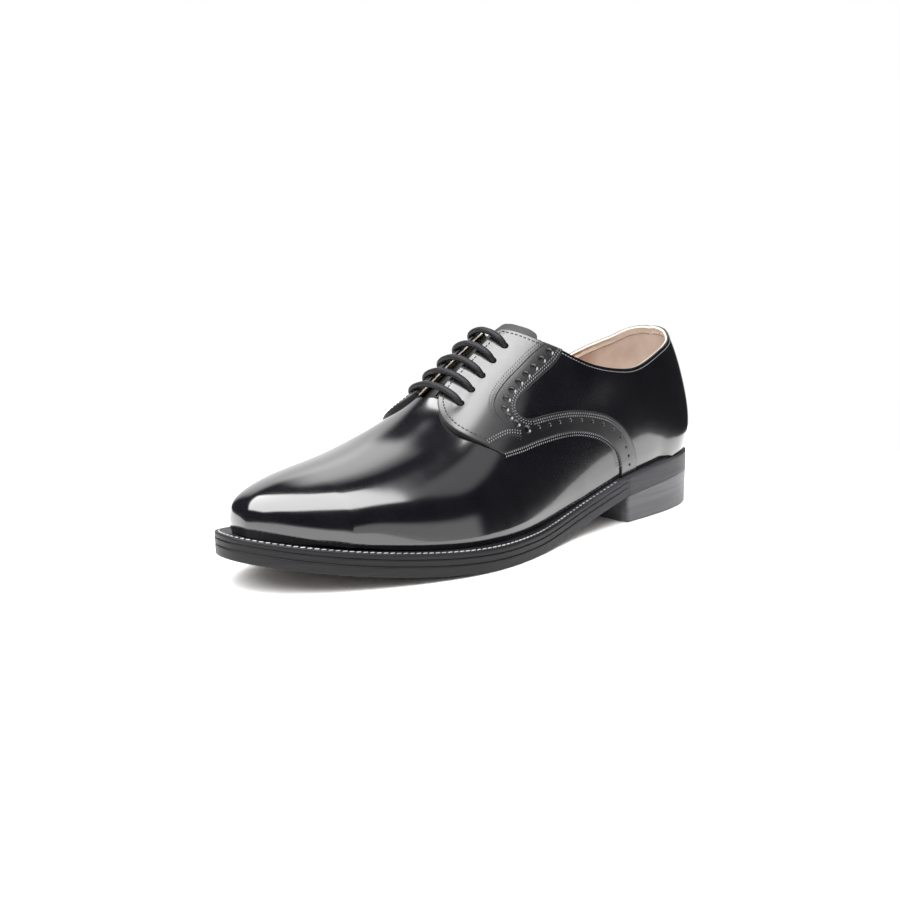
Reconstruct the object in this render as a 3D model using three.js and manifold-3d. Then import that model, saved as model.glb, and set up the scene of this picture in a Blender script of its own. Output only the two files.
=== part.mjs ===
// A plain-toe derby shoe for the left foot: a welted leather sole on a stacked heel, and a hollow upper
// whose quarters lie over the vamp and close over a tongue with five bars of round lace.
// Millimetres, +X from heel to toe, +Y to the outer side of the foot, +Z up, the floor at z = 0.
import * as THREE from 'three';
import { mergeVertices } from 'three/addons/utils/BufferGeometryUtils.js';
import Module from 'manifold-3d';

// Driving sizes of the sole
const SHOE_LENGTH = 302;
const BALL_WIDTH = 107;
const HEEL_WIDTH = 64;
const HEEL_LENGTH = 82;
const HEEL_STACK = 14.5;
const SEAT_RISE = 5.5;
const TOE_SPRING = 15;
const TREAD_BACK = 168;
const TREAD_FRONT = 180;
const OUTSOLE_THICKNESS = 5.1;
const MIDSOLE_THICKNESS = 2.9;
const WELT_THICKNESS = 2.4;
const WELT_REACH_FOREPART = 6.6;
const WELT_REACH_WAIST = 2.6;
const WELT_REACH_HEEL = 2.4;
const HEEL_TAPER = 0.8;
const TOP_PIECE_THICKNESS = 5.4;
const LIFT_THICKNESS = 4.2;
const BREAST_HOLLOW = 2.5;
const GAP = 0.3;

// Driving sizes of the upper and of what lies in it
const UPPER_HEIGHT = 92;
const VAMP_WALL = 1.8;
const QUARTER_STEP = 1.2;
const INSOLE_THICKNESS = 2.4;
const TONGUE_THICKNESS = 1.6;
const LACE_DIAMETER = 3.4;
const LACE_FLAT = 1.6;
const LACE_HOLE_CLEARANCE = 0.5;
const LACE_LIFT = 0.5;

// Sole edge, from the back of the heel to the toe: shares of the shoe's length, and of the heel's
// or the ball's width, outer side positive.
const SEAT_EDGE = [
  { x: 0.0195, outer: 0.276, inner: -0.236 },
  { x: 0.064, outer: 0.454, inner: -0.418 },
  { x: 0.139, outer: 0.545, inner: -0.478 },
  { x: 0.232, outer: 0.574, inner: -0.459 },
  { x: 0.318, outer: 0.577, inner: -0.412 },
];
const FOREPART_EDGE = [
  { x: 0.404, outer: 0.357, inner: -0.243 },
  { x: 0.49, outer: 0.414, inner: -0.299 },
  { x: 0.576, outer: 0.479, inner: -0.402 },
  { x: 0.662, outer: 0.498, inner: -0.492 },
  { x: 0.748, outer: 0.442, inner: -0.516 },
  { x: 0.828, outer: 0.351, inner: -0.484 },
  { x: 0.901, outer: 0.243, inner: -0.439 },
  { x: 0.959, outer: 0.117, inner: -0.364 },
  { x: 0.995, outer: -0.019, inner: -0.252 },
];
const HEEL_END = { x: 0.0052, side: 0.02 };
const TOE_END = { x: 1.0033, side: -0.121 };

// Sections of the last, from the heel's feather line over the instep to the toe's. Each one starts on the
// feather line at foot and rises to a crown. foot and crown are shares of the shoe's length, rise of the
// upper's height, lean and bulges of the ball's width. full is the exponent of a section's width on its
// outer and inner side (less is boxier), and steep is that of its height (more is more pointed).
const LAST_SECTIONS = [
  { foot: 0.132, crown: 0.02, rise: 0, lean: 0.019, bulgeOut: 0, bulgeIn: 0, fullOut: 0.96, fullIn: 0.96, steep: 0.96 },
  { foot: 0.139, crown: 0.008, rise: 0.13, lean: 0.019, bulgeOut: 0.005, bulgeIn: 0.009, fullOut: 0.92, fullIn: 0.92, steep: 0.94 },
  { foot: 0.146, crown: 0.007, rise: 0.292, lean: 0.017, bulgeOut: 0.011, bulgeIn: 0.019, fullOut: 0.88, fullIn: 0.88, steep: 0.92 },
  { foot: 0.154, crown: 0.028, rise: 0.534, lean: 0.011, bulgeOut: 0.011, bulgeIn: 0.023, fullOut: 0.86, fullIn: 0.86, steep: 0.9 },
  { foot: 0.162, crown: 0.058, rise: 0.789, lean: 0.005, bulgeOut: 0.007, bulgeIn: 0.023, fullOut: 0.85, fullIn: 0.85, steep: 0.9 },
  { foot: 0.172, crown: 0.109, rise: 0.971, lean: 0, bulgeOut: 0.011, bulgeIn: 0.028, fullOut: 0.84, fullIn: 0.84, steep: 0.92 },
  { foot: 0.189, crown: 0.204, rise: 1.025, lean: -0.009, bulgeOut: 0.037, bulgeIn: 0.037, fullOut: 0.84, fullIn: 0.84, steep: 0.94 },
  { foot: 0.238, crown: 0.289, rise: 1.074, lean: -0.033, bulgeOut: 0.033, bulgeIn: 0.042, fullOut: 0.86, fullIn: 0.84, steep: 1 },
  { foot: 0.305, crown: 0.363, rise: 1.106, lean: -0.056, bulgeOut: 0.028, bulgeIn: 0.047, fullOut: 0.88, fullIn: 0.82, steep: 1.04 },
  { foot: 0.381, crown: 0.434, rise: 1.06, lean: -0.079, bulgeOut: 0.028, bulgeIn: 0.056, fullOut: 0.9, fullIn: 0.8, steep: 1.08 },
  { foot: 0.457, crown: 0.503, rise: 0.943, lean: -0.093, bulgeOut: 0.019, bulgeIn: 0.056, fullOut: 0.92, fullIn: 0.78, steep: 1.1 },
  { foot: 0.536, crown: 0.573, rise: 0.788, lean: -0.103, bulgeOut: 0.019, bulgeIn: 0.047, fullOut: 0.92, fullIn: 0.8, steep: 1.06 },
  { foot: 0.616, crown: 0.639, rise: 0.628, lean: -0.103, bulgeOut: 0.019, bulgeIn: 0.037, fullOut: 0.92, fullIn: 0.82, steep: 1 },
  { foot: 0.695, crown: 0.711, rise: 0.507, lean: -0.103, bulgeOut: 0.019, bulgeIn: 0.037, fullOut: 0.9, fullIn: 0.82, steep: 0.95 },
  { foot: 0.765, crown: 0.779, rise: 0.429, lean: -0.103, bulgeOut: 0.019, bulgeIn: 0.028, fullOut: 0.88, fullIn: 0.84, steep: 0.92 },
  { foot: 0.815, crown: 0.842, rise: 0.367, lean: -0.112, bulgeOut: 0.019, bulgeIn: 0.023, fullOut: 0.86, fullIn: 0.84, steep: 0.9 },
  { foot: 0.831, crown: 0.905, rise: 0.297, lean: -0.12, bulgeOut: 0.014, bulgeIn: 0.019, fullOut: 0.86, fullIn: 0.85, steep: 0.9 },
  { foot: 0.843, crown: 0.951, rise: 0.22, lean: -0.12, bulgeOut: 0.009, bulgeIn: 0.009, fullOut: 0.88, fullIn: 0.88, steep: 0.92 },
  { foot: 0.851, crown: 0.976, rise: 0.143, lean: -0.117, bulgeOut: 0.005, bulgeIn: 0.005, fullOut: 0.9, fullIn: 0.9, steep: 0.94 },
  { foot: 0.861, crown: 0.978, rise: 0, lean: -0.112, bulgeOut: 0, bulgeIn: 0, fullOut: 0.94, fullIn: 0.94, steep: 0.94 },
];
const SECTION_NODES = 9;

// The upper is laid out as a flat pattern and then lasted. along runs from heel to toe and across from the
// outer feather line (0) over the ridge (0.5) to the inner one (1). The inner side mirrors the outer one.
const TOPLINE = [
  { along: 0.205, across: 0.5 },
  { along: 0.212, across: 0.4 },
  { along: 0.226, across: 0.31 },
  { along: 0.25, across: 0.255 },
  { along: 0.28, across: 0.222 },
  { along: 0.315, across: 0.2 },
  { along: 0.344, across: 0.193 },
  { along: 0.37, across: 0.2 },
  { along: 0.395, across: 0.215 },
  { along: 0.415, across: 0.235 },
  { along: 0.432, across: 0.262 },
  { along: 0.446, across: 0.292 },
  { along: 0.462, across: 0.325 },
  { along: 0.475, across: 0.37 },
  { along: 0.488, across: 0.425 },
];
const THROAT_EDGE = 0.455;
const THROAT_TOP = 0.492;
const THROAT_END = 0.6;
const QUARTER_LOWER_EDGE = [
  { along: 0.4, across: -0.03 },
  { along: 0.4, across: 0.015 },
  { along: 0.402, across: 0.048 },
  { along: 0.414, across: 0.077 },
  { along: 0.438, across: 0.107 },
  { along: 0.475, across: 0.138 },
  { along: 0.525, across: 0.165 },
  { along: 0.56, across: 0.18 },
  { along: 0.589, across: 0.196 },
];
const QUARTER_FRONT_EDGE = [
  { along: 0.589, across: 0.196 },
  { along: 0.604, across: 0.23 },
  { along: 0.616, across: 0.275 },
  { along: 0.6245, across: 0.323 },
  { along: 0.624, across: 0.372 },
  { along: 0.616, across: 0.412 },
  { along: 0.604, across: 0.44 },
  { along: 0.586, across: 0.455 },
];
const LACE_HOLES = [
  { along: 0.505, across: 0.395 },
  { along: 0.529, across: 0.388 },
  { along: 0.552, across: 0.38 },
  { along: 0.574, across: 0.374 },
  { along: 0.596, across: 0.37 },
];
const TONGUE_OUTLINE = [
  { along: 0.655, across: 0.5 },
  { along: 0.65, across: 0.44 },
  { along: 0.62, across: 0.405 },
  { along: 0.56, across: 0.385 },
  { along: 0.5, across: 0.355 },
  { along: 0.47, across: 0.345 },
  { along: 0.457, across: 0.362 },
  { along: 0.458, across: 0.39 },
  { along: 0.465, across: 0.44 },
  { along: 0.468, across: 0.5 },
];

// Fineness of the facets
const PATTERN_LENGTH = 300;
const PATTERN_GIRTH = 250;
const UPPER_STEPS_ALONG = 42;
const UPPER_STEPS_ACROSS = 27;
const TONGUE_STEPS_ALONG = 12;
const TONGUE_STEPS_ACROSS = 16;
const SOLE_STATIONS = 40;
const OUTLINE_POINTS = 720;
const CURVE_STEPS = 3;
const ROUND_SIDES = 12;
const LACE_SIDES = 8;

const PACKAGE = OUTSOLE_THICKNESS + MIDSOLE_THICKNESS + WELT_THICKNESS + 2 * GAP;
const LACE_RADIUS = LACE_DIAMETER / 2;

const clamp = (value, low, high) => Math.min(high, Math.max(low, value));

// Heights of the sole: seen from the side it rises from the flat tread to the heel and to the toe.
function treadHeight(x) {
  const arch = clamp((TREAD_BACK - x) / (TREAD_BACK - HEEL_LENGTH), 0, 1);
  const seat = Math.max(0, (HEEL_LENGTH - x) / HEEL_LENGTH);
  const toe = Math.max(0, (x - TREAD_FRONT) / (SHOE_LENGTH - TREAD_FRONT));
  const heelRise = HEEL_STACK * (1.5 * arch ** 2 - 0.5 * arch ** 3);
  const seatRise = (SEAT_RISE * (1 - Math.exp(-1.5 * seat))) / (1 - Math.exp(-1.5));
  return heelRise + seatRise + TOE_SPRING * toe ** 1.9;
}
const featherHeight = (x) => treadHeight(x) + PACKAGE;

// Weights of the four control values that a uniform cubic B-spline blends at a share t of a span.
function splineWeights(t) {
  return [(1 - t) ** 3, 3 * t ** 3 - 6 * t ** 2 + 4, -3 * t ** 3 + 3 * t ** 2 + 3 * t + 1, t ** 3]
    .map((weight) => weight / 6);
}

// The sole's edge as a closed smooth loop, from the heel along the outer side to the toe and back.
function soleLoop() {
  const edge = [
    ...SEAT_EDGE.map((row) => ({ ...row, width: HEEL_WIDTH })),
    ...FOREPART_EDGE.map((row) => ({ ...row, width: BALL_WIDTH })),
  ];
  const outer = edge.map((row) => new THREE.Vector2(row.x * SHOE_LENGTH, row.outer * row.width));
  const inner = edge.map((row) => new THREE.Vector2(row.x * SHOE_LENGTH, row.inner * row.width));
  const heel = new THREE.Vector2(HEEL_END.x * SHOE_LENGTH, HEEL_END.side * HEEL_WIDTH);
  const toe = new THREE.Vector2(TOE_END.x * SHOE_LENGTH, TOE_END.side * BALL_WIDTH);
  const control = [heel, ...outer, toe, ...inner.reverse()];
  const loop = [];
  for (let i = 0; i < OUTLINE_POINTS; i += 1) {
    const t = (i / OUTLINE_POINTS) * control.length;
    const first = Math.floor(t);
    const point = new THREE.Vector2();
    splineWeights(t - first).forEach((weight, k) => {
      point.addScaledVector(control[(first + k - 1 + control.length) % control.length], weight);
    });
    loop.push(point);
  }
  return loop;
}

// A loop moved inwards by a distance that may change along the shoe.
function inset(loop, distance) {
  return loop.map((point, i) => {
    const before = loop[(i - 1 + loop.length) % loop.length];
    const after = loop[(i + 1) % loop.length];
    const run = after.clone().sub(before).normalize();
    return new THREE.Vector2(point.x + run.y * distance(point.x), point.y - run.x * distance(point.x));
  });
}

// Distance from the upper's foot to the sole's edge.
function weltReach(x) {
  const waist = HEEL_LENGTH + 0.38 * (TREAD_BACK - HEEL_LENGTH);
  const toHeel = clamp((waist - x) / (waist - 0.85 * HEEL_LENGTH), 0, 1);
  const toBall = clamp((x - waist) / (TREAD_FRONT + 10 - waist), 0, 1);
  const forward = WELT_REACH_WAIST + (WELT_REACH_FOREPART - WELT_REACH_WAIST) * toBall;
  return forward + (WELT_REACH_HEEL - WELT_REACH_WAIST) * toHeel;
}

// The two sides of a loop at a place along the shoe.
function edgesAt(loop, x) {
  const sides = [];
  loop.forEach((a, i) => {
    const b = loop[(i + 1) % loop.length];
    if ((a.x <= x) !== (b.x <= x)) sides.push(a.y + ((b.y - a.y) * (x - a.x)) / (b.x - a.x));
  });
  return { outer: Math.max(...sides), inner: Math.min(...sides) };
}

const SOLE_EDGE = soleLoop();
const FEATHER = inset(SOLE_EDGE, weltReach);

// Control net of the last's surface: one row for each section, and across it from foot to foot.
const NET_OVERSIZE = 1.02;
function sectionRow(section) {
  const footX = section.foot * SHOE_LENGTH;
  const crownX = section.crown * SHOE_LENGTH;
  const footZ = featherHeight(footX);
  const crownZ = featherHeight(crownX) + section.rise * UPPER_HEIGHT;
  const edges = edgesAt(FEATHER, footX);
  const middle = (edges.outer + edges.inner) / 2;
  const half = (edges.outer - edges.inner) / 2;
  const row = [];
  for (let j = 0; j < SECTION_NODES; j += 1) {
    const angle = (Math.PI * j) / (SECTION_NODES - 1);
    const atFoot = j === 0 || j === SECTION_NODES - 1;
    const outside = Math.cos(angle) >= 0;
    const full = outside ? section.fullOut : section.fullIn;
    const bulge = (outside ? section.bulgeOut : section.bulgeIn) * BALL_WIDTH;
    const grow = atFoot ? 1 : NET_OVERSIZE;
    const up = atFoot ? 0 : Math.sin(angle) ** section.steep;
    const side = half * Math.abs(Math.cos(angle)) ** full * Math.sign(Math.cos(angle));
    const swell = bulge * Math.sin(2 * angle);
    row.push(new THREE.Vector3(
      footX + (crownX - footX) * up * grow,
      middle + (side + swell) * grow + (section.lean * BALL_WIDTH - middle) * up ** 1.5,
      footZ + (crownZ - footZ) * up * grow,
    ));
  }
  return row;
}
const NET = LAST_SECTIONS.map(sectionRow);

// Control values and weights of an open cubic B-spline whose ends reach the end values.
function openSpline(t, count) {
  const place = clamp(t, 0, 1) * (count - 1);
  const first = Math.min(Math.floor(place), count - 2);
  const weights = new Map();
  const add = (index, weight) => weights.set(index, (weights.get(index) ?? 0) + weight);
  splineWeights(place - first).forEach((weight, k) => {
    const index = first + k - 1;
    if (index < 0) {
      add(0, 2 * weight);
      add(1, -weight);
    } else if (index >= count) {
      add(count - 1, 2 * weight);
      add(count - 2, -weight);
    } else {
      add(index, weight);
    }
  });
  return weights;
}

function netPoint(along, across) {
  const rows = openSpline(along, NET.length);
  const columns = openSpline(across, SECTION_NODES);
  const point = new THREE.Vector3();
  for (const [i, a] of rows) {
    for (const [j, b] of columns) point.addScaledVector(NET[i][j], a * b);
  }
  return point;
}

// The net's own foot line, and how far each millimetre of the toe is drawn in to meet the feather line.
const TOE_RIDGE = -0.11 * BALL_WIDTH;
const RIDGE_BLEND = 24;
const footLine = [];
for (let i = 0; i <= OUTLINE_POINTS; i += 1) footLine.push(netPoint(i / OUTLINE_POINTS, 0));
for (let i = 1; i <= OUTLINE_POINTS; i += 1) footLine.push(netPoint(1, i / OUTLINE_POINTS));
for (let i = OUTLINE_POINTS - 1; i >= 0; i -= 1) footLine.push(netPoint(i / OUTLINE_POINTS, 1));
const footTip = Math.max(...footLine.map((point) => point.x)) - 0.6;
const drawIn = [];
for (let x = 0; x <= SHOE_LENGTH + 1; x += 1) {
  const place = clamp(x, HEEL_LENGTH, footTip);
  const own = edgesAt(footLine, place);
  const wanted = edgesAt(FEATHER, place);
  drawIn.push({
    outer: (wanted.outer - TOE_RIDGE) / (own.outer - TOE_RIDGE),
    inner: (wanted.inner - TOE_RIDGE) / (own.inner - TOE_RIDGE),
  });
}
function drawnY(point) {
  const first = clamp(Math.floor(point.x), 0, drawIn.length - 2);
  const share = clamp(point.x - first, 0, 1);
  const outer = THREE.MathUtils.lerp(drawIn[first].outer, drawIn[first + 1].outer, share);
  const inner = THREE.MathUtils.lerp(drawIn[first].inner, drawIn[first + 1].inner, share);
  const fromRidge = point.y - TOE_RIDGE;
  const side = THREE.MathUtils.smoothstep(fromRidge, -RIDGE_BLEND / 2, RIDGE_BLEND / 2);
  return TOE_RIDGE + fromRidge * THREE.MathUtils.lerp(inner, outer, side);
}

// A point of the last's skin: near the feather line it is lifted onto the sole's own height.
const FOOT_BLEND = 0.1;
function skinPoint(along, across) {
  const point = netPoint(along, across);
  const nearSide = Math.max(0, 1 - Math.min(across, 1 - across) / FOOT_BLEND) ** 2;
  const nearEnd = Math.max(0, 1 - Math.min(along, 1 - along) / FOOT_BLEND) ** 2;
  const sideFoot = netPoint(along, Math.round(across));
  const endFoot = netPoint(Math.round(along), across);
  const sideLift = featherHeight(sideFoot.x) + GAP - sideFoot.z;
  const endLift = featherHeight(endFoot.x) + GAP - endFoot.z;
  const weight = nearSide + nearEnd > 1 ? 1 / (nearSide + nearEnd) : 1;
  const rest = 1 - Math.min(1, nearSide + nearEnd);
  point.z += (sideLift * nearSide + endLift * nearEnd) * weight + GAP * rest;
  point.y = drawnY(point);
  return point;
}

// Outward direction of the skin. At the feather line it is level, so that every wall stands on the welt.
const NORMAL_STEP = 0.004;
const CORNER = 0.012;
const LEVEL_BLEND = 0.05;
function skinNormal(along, across) {
  const a = clamp(along, CORNER, 1 - CORNER);
  const c = clamp(across, CORNER, 1 - CORNER);
  const forward = skinPoint(a + NORMAL_STEP, c).sub(skinPoint(a - NORMAL_STEP, c));
  const sideways = skinPoint(a, c - NORMAL_STEP).sub(skinPoint(a, c + NORMAL_STEP));
  const normal = forward.cross(sideways).normalize();
  const edge = Math.min(across, 1 - across, along, 1 - along);
  normal.z *= clamp(edge / LEVEL_BLEND, 0, 1);
  return normal.normalize();
}

// A point at a height over the skin. Near the feather line it keeps its distance over the sole.
function lasted(along, across, height) {
  const skin = skinPoint(along, across);
  const point = skin.clone().addScaledVector(skinNormal(along, across), height);
  const edge = Math.min(across, 1 - across, along, 1 - along);
  const nearFoot = 1 - clamp(edge / LEVEL_BLEND, 0, 1);
  point.z += nearFoot * (featherHeight(point.x) - featherHeight(skin.x));
  return point;
}

// Solids
const wasm = await Module();
wasm.setup();

function toSolid(geometry) {
  const bare = geometry.index ? geometry.toNonIndexed() : geometry.clone();
  bare.deleteAttribute('normal');
  bare.deleteAttribute('uv');
  const merged = mergeVertices(bare, 1e-4);
  return new wasm.Manifold(new wasm.Mesh({
    numProp: 3,
    vertProperties: new Float32Array(merged.attributes.position.array),
    triVerts: new Uint32Array(merged.index.array),
  }));
}

function toGeometry(solid) {
  const mesh = solid.getMesh();
  const geometry = new THREE.BufferGeometry();
  geometry.setAttribute('position', new THREE.BufferAttribute(mesh.vertProperties, 3));
  geometry.setIndex(new THREE.BufferAttribute(mesh.triVerts, 1));
  return geometry;
}

// A layer of the sole: its top and underside change height along the shoe only.
function layer(loop, low, high, from = -Infinity, to = Infinity) {
  const xs = loop.map((point) => point.x);
  const start = Math.max(from, Math.min(...xs) + 0.12);
  const end = Math.min(to, Math.max(...xs) - 0.12);
  const positions = [];
  for (let i = 0; i <= SOLE_STATIONS; i += 1) {
    const x = start + ((end - start) * (1 - Math.cos((Math.PI * i) / SOLE_STATIONS))) / 2;
    const { outer, inner } = edgesAt(loop, x);
    positions.push(x, outer, high(x), x, inner, high(x), x, inner, low(x), x, outer, low(x));
  }
  const index = [0, 2, 1, 0, 3, 2];
  for (let i = 0; i < SOLE_STATIONS; i += 1) {
    for (let side = 0; side < 4; side += 1) {
      const a = 4 * i + side;
      const b = 4 * i + ((side + 1) % 4);
      index.push(a, b, a + 4, b, b + 4, a + 4);
    }
  }
  const last = 4 * SOLE_STATIONS;
  index.push(last, last + 1, last + 2, last, last + 2, last + 3);
  const geometry = new THREE.BufferGeometry();
  geometry.setAttribute('position', new THREE.Float32BufferAttribute(positions, 3));
  geometry.setIndex(index);
  return toSolid(geometry);
}

function outsoleSolid() {
  return layer(SOLE_EDGE, treadHeight, (x) => treadHeight(x) + OUTSOLE_THICKNESS);
}

const midsoleBottom = (x) => treadHeight(x) + OUTSOLE_THICKNESS + GAP;
const midsoleTop = (x) => midsoleBottom(x) + MIDSOLE_THICKNESS;
function midsoleSolid() {
  return layer(SOLE_EDGE, midsoleBottom, midsoleTop);
}

// The welt runs all round; the insole lies inside it, on the midsole.
const INSOLE_EDGE = inset(FEATHER, () => VAMP_WALL + 2 * GAP);
const WELT_INNER_EDGE = inset(FEATHER, () => VAMP_WALL + GAP);
function weltSolid() {
  const full = layer(SOLE_EDGE, (x) => midsoleTop(x) + GAP, featherHeight);
  const hole = layer(WELT_INNER_EDGE, (x) => midsoleTop(x) - 1, (x) => featherHeight(x) + 1);
  return full.subtract(hole);
}
function insoleSolid() {
  return layer(INSOLE_EDGE, (x) => midsoleTop(x) + GAP, (x) => midsoleTop(x) + GAP + INSOLE_THICKNESS);
}

// Heel: the top piece on the floor, then lifts, the last of them shaped to the sole above. The breast is hollow.
function heelLift(bottom, top) {
  const narrowing = HEEL_TAPER * (1 - bottom / (HEEL_STACK + SEAT_RISE));
  const edge = inset(SOLE_EDGE, () => narrowing);
  const block = layer(edge, () => bottom, top, -Infinity, HEEL_LENGTH);
  const half = HEEL_WIDTH / 2;
  const radius = (half ** 2 + BREAST_HOLLOW ** 2) / (2 * BREAST_HOLLOW);
  const cutter = new THREE.CylinderGeometry(radius, radius, 4 * PACKAGE, 16 * ROUND_SIDES);
  cutter.rotateX(Math.PI / 2);
  cutter.translate(HEEL_LENGTH - BREAST_HOLLOW + radius, 0, PACKAGE);
  return block.subtract(toSolid(cutter));
}

// Flat pattern. It is slightly domed while it is cut, so that every facet keeps its own plane.
const patternX = (along) => along * PATTERN_LENGTH;
const patternY = (across) => (1 - across) * PATTERN_GIRTH;
const PATTERN_DOME = 24;
function dome(x, y) {
  const fromMiddle = (x / PATTERN_LENGTH - 0.5) ** 2 + (y / PATTERN_GIRTH - 0.5) ** 2;
  return -PATTERN_DOME * fromMiddle;
}

function slab(alongFrom, alongTo, acrossFrom, acrossTo, low, high, stepsAlong, stepsAcross) {
  const length = patternX(alongTo) - patternX(alongFrom);
  const girth = patternY(acrossFrom) - patternY(acrossTo);
  const box = new THREE.BoxGeometry(length, girth, high - low, stepsAlong, stepsAcross, 1);
  box.translate(patternX(alongFrom) + length / 2, patternY(acrossTo) + girth / 2, (low + high) / 2);
  const position = box.attributes.position;
  for (let i = 0; i < position.count; i += 1) {
    position.setZ(i, position.getZ(i) + dome(position.getX(i), position.getY(i)));
  }
  return toSolid(box);
}

const toPattern = (point) => new THREE.Vector2(patternX(point.along), patternY(point.across));
const mirrored = (point) => ({ along: point.along, across: 1 - point.across });

// Points of a smooth line through the rows of a table.
function smooth(rows) {
  const curve = new THREE.SplineCurve(rows.map(toPattern));
  return curve.getPoints(CURVE_STEPS * (rows.length - 1));
}

function prism(points, low, high) {
  const shape = new THREE.Shape(points);
  const body = new THREE.ExtrudeGeometry(shape, { depth: high - low, bevelEnabled: false });
  body.translate(0, 0, low);
  return toSolid(body);
}

// A closed outline from the outer side's rows and their mirror images, joined at both ends.
function bothSides(rows) {
  const outer = smooth(rows);
  const inner = smooth(rows.map(mirrored)).reverse();
  return [...outer, ...inner];
}

const CUT_BELOW = -24;
const CUT_ABOVE = 12;
// Collar and throat as one opening; the throat of the quarters runs out at their front.
function opening(throatEnd) {
  const corner = [
    { along: THROAT_TOP, across: THROAT_EDGE },
    { along: throatEnd, across: THROAT_EDGE },
  ].map(toPattern);
  const otherCorner = [
    { along: throatEnd, across: 1 - THROAT_EDGE },
    { along: THROAT_TOP, across: 1 - THROAT_EDGE },
  ].map(toPattern);
  const outer = smooth(TOPLINE);
  const inner = smooth(TOPLINE.map(mirrored)).reverse();
  inner.pop();
  return prism([...outer, ...corner, ...otherCorner, ...inner], CUT_BELOW, CUT_ABOVE);
}

function quarterOutline() {
  const lower = smooth(QUARTER_LOWER_EDGE);
  const front = smooth(QUARTER_FRONT_EDGE);
  front.shift();
  const innerLower = smooth(QUARTER_LOWER_EDGE.map(mirrored)).reverse();
  const innerFront = smooth(QUARTER_FRONT_EDGE.map(mirrored)).reverse();
  innerFront.pop();
  const heelCorners = [{ along: -0.05, across: 1.03 }, { along: -0.05, across: -0.03 }].map(toPattern);
  return [...lower, ...front, ...innerFront, ...innerLower, ...heelCorners];
}

// The pattern place that lies some millimetres forward and sideways of another one on the skin.
function shifted(place, forward, sideways) {
  const step = 0.01;
  const alongRun = skinPoint(place.along + step, place.across)
    .sub(skinPoint(place.along - step, place.across))
    .divideScalar(2 * step);
  const acrossRun = skinPoint(place.along, place.across + step)
    .sub(skinPoint(place.along, place.across - step))
    .divideScalar(2 * step);
  const ahead = alongRun.clone().normalize();
  const skew = acrossRun.dot(ahead);
  const square = acrossRun.clone().addScaledVector(ahead, -skew).length();
  const across = sideways / square;
  const along = (forward - skew * across) / alongRun.length();
  return { along: place.along + along, across: place.across + across };
}

function laceHole(hole) {
  const radius = LACE_RADIUS + LACE_HOLE_CLEARANCE;
  const points = [];
  for (let i = 0; i < ROUND_SIDES; i += 1) {
    const angle = (2 * Math.PI * i) / ROUND_SIDES;
    points.push(toPattern(shifted(hole, radius * Math.cos(angle), -radius * Math.sin(angle))));
  }
  return prism(points, CUT_BELOW, CUT_ABOVE);
}

// Bends a flat solid round the last.
function last(flat) {
  const geometry = toGeometry(flat);
  const position = geometry.attributes.position;
  for (let i = 0; i < position.count; i += 1) {
    const along = position.getX(i) / PATTERN_LENGTH;
    const across = 1 - position.getY(i) / PATTERN_GIRTH;
    const height = position.getZ(i) - dome(position.getX(i), position.getY(i));
    const point = lasted(along, across, height);
    position.setXYZ(i, point.x, point.y, point.z);
  }
  return geometry;
}

function upperGeometry() {
  const sheet = (low, high) => slab(0, 1, 0, 1, low, high, UPPER_STEPS_ALONG, UPPER_STEPS_ACROSS);
  const vamp = sheet(-VAMP_WALL, 0).subtract(opening(THROAT_END));
  const overlay = sheet(-VAMP_WALL / 2, QUARTER_STEP)
    .intersect(prism(quarterOutline(), CUT_BELOW, CUT_ABOVE))
    .subtract(opening(1));
  let flat = vamp.add(overlay);
  for (const hole of LACE_HOLES) {
    flat = flat.subtract(laceHole(hole)).subtract(laceHole(mirrored(hole)));
  }
  return last(flat);
}

// Levels under the facings, measured out from the skin: the wall, the flat run of lace, the tongue.
const LACE_RUN_LEVEL = -(VAMP_WALL + GAP + LACE_FLAT / 2);
const TONGUE_TOP = -(VAMP_WALL + 2 * GAP + LACE_FLAT);
function tongueGeometry() {
  const low = TONGUE_TOP - TONGUE_THICKNESS;
  const sheet = slab(0.42, 0.68, 0.32, 0.68, low, TONGUE_TOP, TONGUE_STEPS_ALONG, TONGUE_STEPS_ACROSS);
  const outline = bothSides(TONGUE_OUTLINE);
  outline.pop();
  outline.splice(outline.length / 2, 1);
  return last(sheet.intersect(prism(outline, CUT_BELOW, CUT_ABOVE)));
}

// A cord along a route of pattern places and levels; its section is an oval, level with the skin.
function cord(route, halfWidth, halfHeight) {
  const centres = route.map((stop) => lasted(stop.along, stop.across, stop.level));
  const positions = [];
  centres.forEach((centre, i) => {
    const before = centres[Math.max(0, i - 1)];
    const after = centres[Math.min(centres.length - 1, i + 1)];
    const run = after.clone().sub(before).normalize();
    const side = route[i].side.clone();
    side.addScaledVector(run, -side.dot(run)).normalize();
    const out = run.clone().cross(side);
    for (let k = 0; k < LACE_SIDES; k += 1) {
      const angle = (2 * Math.PI * k) / LACE_SIDES;
      const point = centre.clone()
        .addScaledVector(side, halfWidth * Math.cos(angle))
        .addScaledVector(out, halfHeight * Math.sin(angle));
      positions.push(point.x, point.y, point.z);
    }
  });
  const index = [];
  for (let i = 0; i < centres.length - 1; i += 1) {
    for (let k = 0; k < LACE_SIDES; k += 1) {
      const a = i * LACE_SIDES + k;
      const b = i * LACE_SIDES + ((k + 1) % LACE_SIDES);
      index.push(a, b, a + LACE_SIDES, b, b + LACE_SIDES, a + LACE_SIDES);
    }
  }
  const end = (centres.length - 1) * LACE_SIDES;
  for (let k = 1; k < LACE_SIDES - 1; k += 1) {
    index.push(0, k + 1, k, end, end + k, end + k + 1);
  }
  const geometry = new THREE.BufferGeometry();
  geometry.setAttribute('position', new THREE.Float32BufferAttribute(positions, 3));
  geometry.setIndex(index);
  return toSolid(geometry);
}

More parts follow.
